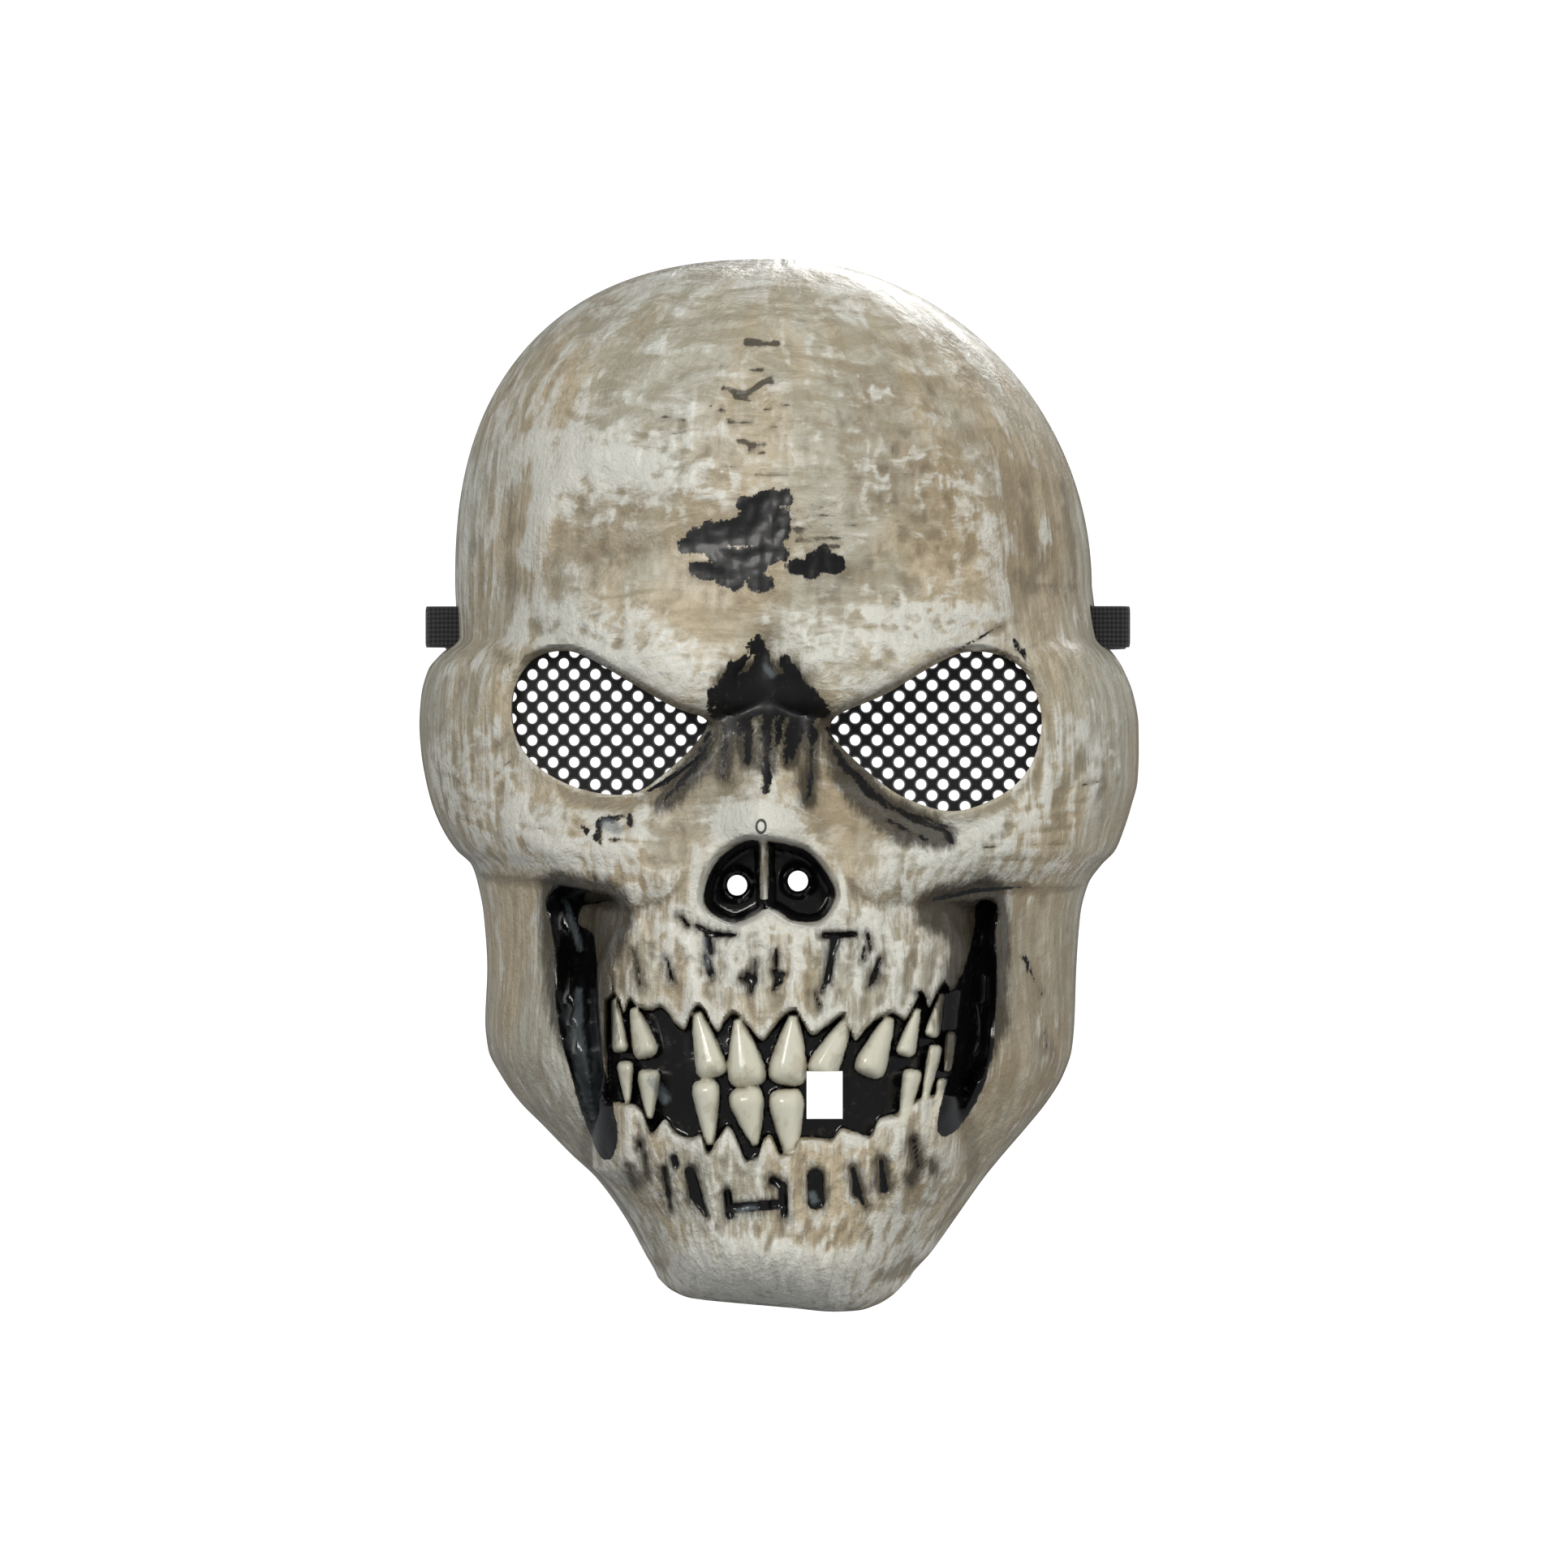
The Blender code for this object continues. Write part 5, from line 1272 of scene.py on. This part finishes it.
class Finish:
    """A material that is put together from nodes."""

    def __init__(self, name):
        self.material = bpy.data.materials.new(name)
        self.material.use_nodes = True
        self.tree = self.material.node_tree
        self.shader = self.tree.nodes["Principled BSDF"]
        self.place = self.add("ShaderNodeTexCoord").outputs["Object"]

    def add(self, kind, **settings):
        node = self.tree.nodes.new(kind)
        for key, value in settings.items():
            setattr(node, key, value)
        return node

    def put(self, socket, value):
        if isinstance(value, bpy.types.NodeSocket):
            self.tree.links.new(value, socket)
        elif isinstance(value, tuple) and len(value) == 3 and socket.type == "RGBA":
            socket.default_value = (*value, 1.0)
        else:
            socket.default_value = value

    def math(self, operation, a, b=0.0, c=0.0):
        node = self.add("ShaderNodeMath", operation=operation)
        self.put(node.inputs[0], a)
        self.put(node.inputs[1], b)
        self.put(node.inputs[2], c)
        return node.outputs[0]

    def between(self, share, a, b):
        node = self.add("ShaderNodeMix", data_type="FLOAT")
        self.put(node.inputs[0], share)
        self.put(node.inputs[2], a)
        self.put(node.inputs[3], b)
        return node.outputs[0]

    def band(self, value, low, high, start=0.0, end=1.0):
        node = self.add("ShaderNodeMapRange", interpolation_type="SMOOTHSTEP")
        for socket, number in zip(node.inputs, (value, low, high, start, end)):
            self.put(socket, number)
        return node.outputs[0]

    def mix(self, share, a, b):
        node = self.add("ShaderNodeMix", data_type="RGBA")
        self.put(node.inputs[0], share)
        self.put(node.inputs[6], a)
        self.put(node.inputs[7], b)
        return node.outputs[2]

    def stretch(self, scale):
        node = self.add("ShaderNodeMapping")
        self.put(node.inputs["Vector"], self.place)
        node.inputs["Scale"].default_value = scale
        return node.outputs[0]

    def noise(self, scale, detail=3.0, roughness=0.55, distortion=0.0, stretch=(1.0, 1.0, 1.0)):
        node = self.add("ShaderNodeTexNoise")
        self.put(node.inputs["Vector"], self.place if stretch == (1.0, 1.0, 1.0) else self.stretch(stretch))
        node.inputs["Scale"].default_value = scale
        node.inputs["Detail"].default_value = detail
        node.inputs["Roughness"].default_value = roughness
        node.inputs["Distortion"].default_value = distortion
        return node.outputs["Fac"]

    def attribute(self, name):
        return self.add("ShaderNodeAttribute", attribute_name=name).outputs["Fac"]

    def bump(self, height, distance, strength):
        node = self.add("ShaderNodeBump")
        node.inputs["Strength"].default_value = strength
        node.inputs["Distance"].default_value = distance
        self.put(node.inputs["Height"], height)
        return node.outputs[0]

    def done(self, **sockets):
        for name, value in sockets.items():
            self.put(self.shader.inputs[name.replace("_", " ")], value)
        return self.material


def bone_paint():
    """Ivory plastic with brushed brown washes, pale drybrushed tops, glossy black in the hollows, and painted
    highlights, shade and grey reflections.
    """
    f = Finish("bone_plastic_painted")
    grain = f.attribute("grain")
    tall = f.noise(330.0, 6.0, 0.68, 0.35, (1.0, 1.0, 0.10))
    level = f.noise(240.0, 6.0, 0.68, 0.6, (0.30, 0.6, 1.0))
    streaks = f.between(f.attribute("upright"), level, tall)
    patch = f.noise(120.0, 5.0, 0.65, 0.7)
    fine = f.noise(620.0, 4.0, 0.65, 0.3)

    color = f.add("ShaderNodeAttribute", attribute_name="paint").outputs["Color"]
    drag = f.math("MULTIPLY", f.band(streaks, 0.40, 0.58, 0.50, 0.0), grain)
    color = f.mix(drag, color, BONE_SHADE)
    # Pale drybrush paint, with the painted highlights on the tops
    pale = f.math("MULTIPLY_ADD", streaks, 1.10, f.attribute("drybrush_and_highlight"))
    pale = f.math("MULTIPLY_ADD", fine, 0.25, pale)
    color = f.mix(f.math("MULTIPLY", f.band(pale, 0.84, 1.16, 0.0, 0.88), grain), color, DRY_BRUSH_AND_HIGHLIGHT)
    # Painted shade along the creases
    crease = f.math("MULTIPLY_ADD", patch, 2.4, f.attribute("creases"))
    color = f.mix(f.band(crease, 1.20, 1.50, 0.85, 0.0), color, SMOKE_AND_SHADE_BROWN)
    hairs = f.noise(640.0, 6.0, 0.72, 0.5, (1.0, 1.0, 0.16))
    # Brown smoke paint with painted shade in the hollows
    smoke_and_shade = f.math("MULTIPLY_ADD", f.between(0.35, hairs, patch), 7.5, f.attribute("smoke_and_shade"))
    color = f.mix(f.band(smoke_and_shade, 1.8, 4.6, 0.90, 0.0), color, SMOKE_AND_SHADE_BROWN)

    brush = f.noise(430.0, 7.0, 0.74, 0.9, (0.75, 1.0, 0.8))
    rough_ink = f.math("MULTIPLY_ADD", brush, 3.4, f.attribute("ink_rough"))
    rough_ink = f.math("MULTIPLY_ADD", patch, 2.4, rough_ink)
    rough_ink = f.band(f.math("MULTIPLY_ADD", hairs, 2.2, rough_ink), 3.85, 4.15, 1.0, 0.0)
    # Black paint, which also draws the painted shadow under the cheekbones
    sharp_ink_and_shadow = f.band(f.math("MULTIPLY_ADD", fine, 1.0, f.attribute("ink_and_shadow_sharp")), 0.38, 0.62, 1.0, 0.0)
    ink_and_shadow = f.math("MAXIMUM", rough_ink, sharp_ink_and_shadow)
    color = f.mix(ink_and_shadow, color, f.mix(f.band(fine, 0.58, 0.70, 0.0, 0.7), INK_BLACK, INK_BROWN))
    # Painted grey reflections on the black
    grey = f.math("MULTIPLY_ADD", brush, 2.4, f.attribute("grey"))
    color = f.mix(f.band(grey, 0.5, 1.7, 0.60, 0.0), color, PAINTED_REFLECTION_GREY)

    ring_at = f.add("ShaderNodeMapping")
    f.put(ring_at.inputs["Vector"], f.place)
    ring_at.inputs["Scale"].default_value = (1.0 / ring_across, 0.0, 1.0 / ring_tall)
    ring_at.inputs["Location"].default_value = (-ring_place[0] / ring_across, 0.0, -ring_place[1] / ring_tall)
    ring = f.add("ShaderNodeVectorMath", operation="LENGTH")
    f.put(ring.inputs[0], ring_at.outputs[0])
    line = f.math("ABSOLUTE", f.math("SUBTRACT", ring.outputs["Value"], 1.0))
    color = f.mix(f.band(line, 0.14, 0.34, 0.92, 0.0), color, INK_BLACK)

    shine = f.between(grain, 0.13, f.band(streaks, 0.3, 0.7, 0.48, 0.32))
    shine = f.between(rough_ink, shine, 0.46)
    height = f.math("MULTIPLY_ADD", patch, 1.5, f.math("ADD", streaks, fine))
    height = f.math("SUBTRACT", height, 1.75)
    normal = f.bump(f.math("MULTIPLY", height, grain), 0.0008, 0.85)
    return f.done(Base_Color=color, Roughness=shine, Normal=normal, Specular_IOR_Level=0.5,
                  Coat_Weight=0.20, Coat_Roughness=0.16)


def plain_back():
    """Unpainted moulded plastic on the inside of the mask."""
    f = Finish("bone_plastic_back")
    cloud = f.noise(35.0, 3.0, 0.55, 0.3)
    mould = f.noise(900.0, 3.0, 0.6)
    color = f.mix(f.band(cloud, 0.35, 0.65), BACK_LIGHT, BACK_DARK)
    color = f.mix(f.math("MULTIPLY", f.band(mould, 0.60, 0.75), 0.25), color, BACK_SPECK)
    shine = f.band(mould, 0.3, 0.7, 0.52, 0.40)
    return f.done(Base_Color=color, Roughness=shine, Normal=f.bump(mould, 0.0003, 0.6))


def make_face():
    """The painted shell with all its openings."""
    mesh, outer, hollow = closed_shell()
    mesh = cut_openings(mesh)
    smooth_piece(mesh, 58)
    paint_fields(mesh, outer, hollow)
    face = new_piece("mask_face", mesh, bone_paint(), plain_back())
    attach(face, "root")
    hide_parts("mask_shell")
    return face


def hole_places(curve):
    """Middles of the net's holes that lie well inside its edge, in staggered rows."""
    left, low = curve.min(axis=0)
    right, high = curve.max(axis=0)
    places = []
    for row in range(int(low / net_row) - 2, int(high / net_row) + 3):
        for k in range(int(left / net_pitch) - 2, int(right / net_pitch) + 3):
            places.append(((k + 0.5 * (row % 2)) * net_pitch, row * net_row))
    places = np.array(places)
    room = distance_outside(places[:, 0], places[:, 1], curve)
    return places[room < -net_hole_radius - 0.0003]


# The nodes that punch the net: name and kind
PUNCH_NODES = [
    ("given", "NodeGroupInput"),
    ("made", "NodeGroupOutput"),
    ("outline", "GeometryNodeObjectInfo"),
    ("to_curve", "GeometryNodeMeshToCurve"),
    ("points", "GeometryNodeMeshToPoints"),
    ("hole", "GeometryNodeCurvePrimitiveCircle"),
    ("placed", "GeometryNodeInstanceOnPoints"),
    ("real", "GeometryNodeRealizeInstances"),
    ("both", "GeometryNodeJoinGeometry"),
    ("filled", "GeometryNodeFillCurve"),
    ("pulled", "GeometryNodeExtrudeMesh"),
    ("turned", "GeometryNodeFlipFaces"),
    ("closed", "GeometryNodeJoinGeometry"),
    ("welded", "GeometryNodeMergeByDistance"),
    ("finish", "GeometryNodeSetMaterial"),
]
# How they are joined: from, its output, to, its input
PUNCH_LINKS = [
    ("given", "Outline", "outline", "Object"),
    ("outline", "Geometry", "to_curve", "Mesh"),
    ("given", "Hole places", "points", "Mesh"),
    ("given", "Hole radius", "hole", "Radius"),
    ("points", "Points", "placed", "Points"),
    ("hole", "Curve", "placed", "Instance"),
    ("placed", "Instances", "real", "Geometry"),
    ("real", "Geometry", "both", "Geometry"),
    ("to_curve", "Curve", "both", "Geometry"),
    ("both", "Geometry", "filled", "Curve"),
    ("filled", "Mesh", "pulled", "Mesh"),
    ("given", "Thickness", "pulled", "Offset Scale"),
    ("filled", "Mesh", "turned", "Mesh"),
    ("pulled", "Mesh", "closed", "Geometry"),
    ("turned", "Mesh", "closed", "Geometry"),
    ("closed", "Geometry", "welded", "Geometry"),
    ("welded", "Geometry", "finish", "Geometry"),
    ("given", "Finish", "finish", "Material"),
    ("finish", "Geometry", "made", "Sheet"),
]


def perforation_tree():
    """Node tree: punches round holes into a flat outline and gives the sheet its thickness."""
    tree = bpy.data.node_groups.new("punch_round_holes", "GeometryNodeTree")
    for name, kind in (("Hole places", "Geometry"), ("Outline", "Object"), ("Hole radius", "Float"),
                       ("Thickness", "Float"), ("Finish", "Material")):
        tree.interface.new_socket(name, in_out="INPUT", socket_type="NodeSocket" + kind)
    tree.interface.new_socket("Sheet", in_out="OUTPUT", socket_type="NodeSocketGeometry")
    node = {}
    for key, kind in PUNCH_NODES:
        node[key] = tree.nodes.new(kind)
    node["hole"].inputs["Resolution"].default_value = hole_sides
    node["pulled"].inputs["Individual"].default_value = False
    node["welded"].inputs["Distance"].default_value = weld_distance
    for source, out, target, into in PUNCH_LINKS:
        tree.links.new(node[source].outputs[out], node[target].inputs[into])
    return tree


def run_tree(piece, tree, values):
    """Run a node tree on a piece with its inputs set by name, and give the plain mesh that it makes."""
    modifier = piece.modifiers.new(tree.name, "NODES")
    modifier.node_group = tree
    for item in tree.interface.items_tree:
        if item.item_type == "SOCKET" and item.in_out == "INPUT" and item.name in values:
            modifier[item.identifier] = values[item.name]
    mesh = bpy.data.meshes.new_from_object(piece.evaluated_get(bpy.context.evaluated_depsgraph_get()))
    piece.modifiers.remove(modifier)
    bpy.data.objects.remove(piece)
    return mesh


def net_front(x, z):
    """How far forward the middle of the net lies: behind the wall at the edge of the eye opening."""
    steep = -1.0 / outward(x, z)[..., 1]
    behind = (wall + net_gap + net_thickness / 2) * steep
    return bare_front(x, z) - socket_recess(x) - behind


def net_fabric():
    """Black knitted net: a paler ring of yarn round each hole and small dark gaps between the rings."""
    f = Finish("black_net_knit")
    yarn = f.noise(2600.0, 3.0, 0.6)
    place = f.add("ShaderNodeSeparateXYZ")
    f.put(place.inputs[0], f.place)
    nearest = None
    for shift in (0.0, 0.5):
        offs = []
        for axis, pitch in (("X", net_pitch), ("Z", 2.0 * net_row)):
            cell = f.math("ADD", f.math("DIVIDE", place.outputs[axis], pitch), shift)
            off = f.math("SUBTRACT", cell, f.math("ROUND", cell))
            offs.append(f.math("MULTIPLY", off, pitch * in_millimetres))
        squares = [f.math("MULTIPLY", off, off) for off in offs]
        away = f.math("SQRT", f.math("ADD", *squares))
        nearest = away if nearest is None else f.math("MINIMUM", nearest, away)
    uneven = f.math("MULTIPLY_ADD", yarn, 0.5, nearest)
    hole = net_hole_radius * in_millimetres
    ring = f.band(uneven, hole + 0.40, hole + 0.75, 1.0, 0.0)
    height = f.math("MULTIPLY_ADD", yarn, 0.7, f.math("MULTIPLY", ring, 0.5))
    color = f.mix(f.band(height, 0.42, 0.95), NET_DEEP, NET_YARN)
    return f.done(Base_Color=color, Roughness=0.80, Normal=f.bump(height, 0.0003, 0.9),
                  Sheen_Weight=0.25, Sheen_Roughness=0.5)


def flat_size(edge):
    """Width, length and whole outline area of a net laid flat, measured along its curved front."""
    (left, low), (right, high) = edge.min(axis=0), edge.max(axis=0)
    xs, zs = np.arange(left, right, flat_step), np.arange(low, high, flat_step)
    x, z = np.meshgrid(xs, zs)
    slope_z, slope_x = np.gradient(net_front(x.ravel(), z.ravel()).reshape(x.shape), flat_step)
    inside = distance_outside(x, z, edge) < 0.0
    wide = (np.sqrt(1.0 + slope_x ** 2) * inside).sum(axis=1).max() * flat_step
    tall = (np.sqrt(1.0 + slope_z ** 2) * inside).sum(axis=0).max() * flat_step
    spread = np.sqrt(1.0 + slope_x ** 2 + slope_z ** 2)
    return float(wide), float(tall), float(spread[inside].sum() * flat_step ** 2)


def make_net(name, node, eye, tree, finish):
    """One eye's net: a perforated sheet that laps behind the opening and follows the face's curve."""
    curve = closed_curve(eye, crisp_steps)
    along = np.roll(curve, -1, 0) - np.roll(curve, 1, 0)
    out = np.stack([along[:, 1], -along[:, 0]], axis=-1)
    out /= np.linalg.norm(out, axis=1, keepdims=True)
    turn = np.sum(curve[:, 0] * np.roll(curve[:, 1], -1) - curve[:, 1] * np.roll(curve[:, 0], -1))
    edge = curve + out * net_lap * (1.0 if turn > 0 else -1.0)
    count = len(edge)
    outline = bpy.data.meshes.new(name + "_outline")
    outline.from_pydata([(px, pz, 0.0) for px, pz in edge], [(k, (k + 1) % count) for k in range(count)], [])
    outline_piece = new_piece(name + "_outline", outline)
    places = new_mesh(name + "_holes", [(px, pz, 0.0) for px, pz in hole_places(edge)], [])
    mesh = run_tree(new_piece(name + "_holes", places), tree, {
        "Outline": outline_piece, "Hole radius": net_hole_radius,
        "Thickness": net_thickness, "Finish": finish,
    })
    bpy.data.objects.remove(outline_piece)
    flat = np.empty(len(mesh.vertices) * 3)
    mesh.vertices.foreach_get("co", flat)
    flat = flat.reshape(-1, 3)
    depth = flat[:, 2] - net_thickness / 2
    placed = np.stack([flat[:, 0], -net_front(flat[:, 0], flat[:, 1]) - depth, flat[:, 1]], axis=-1)
    mesh.vertices.foreach_set("co", placed.ravel())
    mesh.update()
    turn_outward(mesh)
    smooth_piece(mesh, 40)
    mesh.name = name
    net = new_piece(name, mesh)
    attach(net, "root")
    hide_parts(node)
    width, length, area = flat_size(edge)
    return net


def strap_path():
    """Middle line of the band seen from above: looped round the rim at each side, round the head behind."""
    heights = np.array([strap_up - strap_width / 2, strap_up, strap_up + strap_width / 2])
    half = strap_thickness / 2
    slot = rim_back - slot_from_rim
    ends = []
    for side, sign in ((LEFT, -1.0), (RIGHT, 1.0)):
        widths = half_width(heights, side)
        outside = widths.max() + clearance + half
        inside = widths.min() - 1.6 * wall - clearance - half
        main = inside + strap_thickness + clearance
        ends.append([
            (sign * inside, rim_back + strap_tail),
            (sign * inside, rim_back + 0.4 * strap_tail),
            (sign * inside, slot + 2.6 * half),
            (sign * (inside + 0.6 * half), slot + 0.7 * half),
            (sign * (inside + 2.0 * half), slot),
            (sign * (outside + 0.3 * half), slot),
            (sign * (outside + 0.75 * strap_bulge), slot + 1.2 * half),
            (sign * (outside + strap_bulge), slot + 0.5 * slot_from_rim),
            (sign * (outside + 0.75 * strap_bulge), rim_back),
            (sign * (main + 0.6 * (outside - main)), rim_back + 0.35 * strap_tail),
            (sign * main, rim_back + 0.75 * strap_tail),
            (sign * main, rim_back + 1.1 * strap_tail),
        ])
    lead = math.radians(16)
    steps = 28
    middle = rim_back + head_behind_rim
    back = []
    for k in range(steps + 1):
        a = -lead + (math.pi + 2.0 * lead) * k / steps
        back.append((-head_half_width * math.cos(a), middle + (head_back - head_behind_rim) * math.sin(a)))
    return np.array(ends[0] + back + ends[1][::-1])


def even_points(path, spacing):
    """The same line with points at an even spacing."""
    lengths = np.concatenate([[0.0], np.cumsum(np.linalg.norm(np.diff(path, axis=0), axis=1))])
    count = int(lengths[-1] / spacing) + 1
    at = np.linspace(0.0, lengths[-1], count)
    return np.stack([np.interp(at, lengths, path[:, 0]), np.interp(at, lengths, path[:, 1])], axis=-1), at


def elastic_fabric():
    """Black woven elastic: fine ribs across the band, a tight weave along it and a thin painted highlight
    along each edge.
    """
    f = Finish("strap_elastic_woven")
    way = f.attribute("band_way")
    side = f.attribute("band_side")
    ribs = f.math("SINE", f.math("MULTIPLY", way, 2.0 * math.pi * 1100.0))
    cords = f.math("SINE", f.math("MULTIPLY", side, 2.0 * math.pi * 9.0))
    fluff = f.noise(3000.0, 3.0, 0.6)
    weave = f.math("ADD", f.math("MULTIPLY", ribs, 0.35), f.math("MULTIPLY", cords, 0.35))
    height = f.math("ADD", weave, f.math("MULTIPLY", fluff, 0.5))
    color = f.mix(f.band(height, -0.2, 0.8), ELASTIC_DEEP, ELASTIC_YARN)
    # Painted highlight along both edges of the band
    edge = f.band(f.math("ABSOLUTE", side), 0.40, 0.5)
    color = f.mix(f.math("MULTIPLY", edge, 0.35), color, ELASTIC_EDGE_HIGHLIGHT)
    return f.done(Base_Color=color, Roughness=0.78, Normal=f.bump(height, 0.00022, 0.9),
                  Sheen_Weight=0.2, Sheen_Roughness=0.45)


def make_strap():
    """The band: a flat woven section with rounded edges, drawn along its path."""
    path, way = even_points(strap_path(), strap_step)
    along = np.gradient(path, axis=0)
    along /= np.linalg.norm(along, axis=1, keepdims=True)
    aside = np.stack([-along[:, 1], along[:, 0]], axis=-1)
    across = [-0.50, -0.47, -0.40, -0.25, 0.0, 0.25, 0.40, 0.47, 0.50]
    thick = [0.30, 0.42, 0.49, 0.50, 0.50, 0.50, 0.49, 0.42, 0.30]
    section = list(zip(across, thick)) + [(a, -t) for a, t in zip(across[::-1], thick[::-1])]
    points, ways, sides = [], [], []
    for k in range(len(path)):
        for a, t in section:
            px, py = path[k] + aside[k] * t * strap_thickness
            points.append((px, py, strap_up + a * strap_width))
            ways.append(way[k])
            sides.append(a)
    n = len(section)
    faces = []
    for k in range(len(path) - 1):
        for i in range(n):
            j = (i + 1) % n
            faces.append((k * n + i, k * n + j, (k + 1) * n + j, (k + 1) * n + i))
    faces.append(tuple(range(n))[::-1])
    faces.append(tuple((len(path) - 1) * n + i for i in range(n)))
    mesh = new_mesh("head_band", points, faces)
    turn_outward(mesh)
    set_attribute(mesh, "band_way", ways)
    set_attribute(mesh, "band_side", sides)
    smooth_piece(mesh, 50)
    band = new_piece("head_band", mesh, elastic_fabric())
    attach(band, "root")
    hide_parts("head_strap")
    return band


def stage_finish():
    """White studio paper that is lit evenly from behind, more so far from the object."""
    f = Finish("studio_paper")
    tooth = f.noise(60.0, 3.0, 0.5)
    away = f.add("ShaderNodeVectorMath", operation="LENGTH")
    f.put(away.inputs[0], f.place)
    paper = f.mix(tooth, PAPER_LIGHT, PAPER_SHADE)
    glow = f.band(away.outputs["Value"], 0.6, 3.5, 0.30, 0.95)
    return f.done(Base_Color=paper, Roughness=0.9, Emission_Color=(1.0, 1.0, 1.0), Emission_Strength=glow)


def make_stage():
    """A round pale floor that rises into a far wall on every side. Light for the object passes through it."""
    profile = [(0.0, -0.42), (1.0, -0.42), (3.0, -0.42), (5.4, -0.42),
               (6.4, -0.20), (7.0, 0.4), (7.2, 1.4), (7.2, 6.0)]
    sides = 96
    points = [(0.0, 0.0, profile[0][1])]
    for r, z in profile[1:]:
        for k in range(sides):
            a = 2.0 * math.pi * k / sides
            points.append((r * math.cos(a), r * math.sin(a), z))
    faces = [(0, 1 + k, 1 + (k + 1) % sides) for k in range(sides)]
    for ring in range(len(profile) - 2):
        low, high = 1 + ring * sides, 1 + (ring + 1) * sides
        for k in range(sides):
            j = (k + 1) % sides
            faces.append((low + k, high + k, high + j, low + j))
    mesh = new_mesh("floor", points, faces)
    mesh.shade_smooth()
    floor = new_piece("floor", mesh, stage_finish())
    floor.visible_diffuse = False
    floor.visible_glossy = False
    floor.visible_transmission = False
    floor.visible_shadow = False


def add_light(name, place, size, power, color, mirrored):
    """A soft rectangular light that faces the origin. Unless mirrored, it leaves no glint in the lacquer."""
    data = bpy.data.lights.new(name, "AREA")
    data.shape = "RECTANGLE"
    data.size, data.size_y = size
    data.energy = power
    data.color = color
    lamp = bpy.data.objects.new(name, data)
    bpy.context.scene.collection.objects.link(lamp)
    lamp.location = place
    lamp.visible_glossy = mirrored
    lamp.rotation_euler = (-Vector(place)).to_track_quat("-Z", "Y").to_euler()


def make_camera():
    """A distant camera, two degrees to the viewer's right of the mask's front."""
    turn = math.radians(camera_turn)
    data = bpy.data.cameras.new("camera")
    data.sensor_width = sensor_width
    data.lens = sensor_width * camera_distance / frame_width
    data.clip_end = 50.0
    camera = bpy.data.objects.new("camera", data)
    bpy.context.scene.collection.objects.link(camera)
    away = Vector((math.sin(turn), -math.cos(turn), 0.0)) * camera_distance
    camera.location = Vector(camera_aim) + away
    camera.rotation_euler = (-away).to_track_quat("-Z", "Y").to_euler()
    bpy.context.scene.camera = camera


def make_lights():
    """Soft studio light: large soft boxes above on the left and lower on the right, and a pale room."""
    for row in LIGHTS:
        add_light(*row)
    world = bpy.data.worlds.new("pale_room")
    bpy.context.scene.world = world
    world.use_nodes = True
    world.node_tree.nodes["Background"].inputs["Color"].default_value = (0.95, 0.97, 1.0, 1.0)
    world.node_tree.nodes["Background"].inputs["Strength"].default_value = room_light
    bpy.context.scene.view_settings.view_transform = "Standard"


make_camera()
make_lights()
make_stage()
make_face()
punch = perforation_tree()
net_finish = net_fabric()
make_net("net_left", "eye_net_left", EYE_LEFT, punch, net_finish)
make_net("net_right", "eye_net_right", EYE_RIGHT, punch, net_finish)
make_strap()
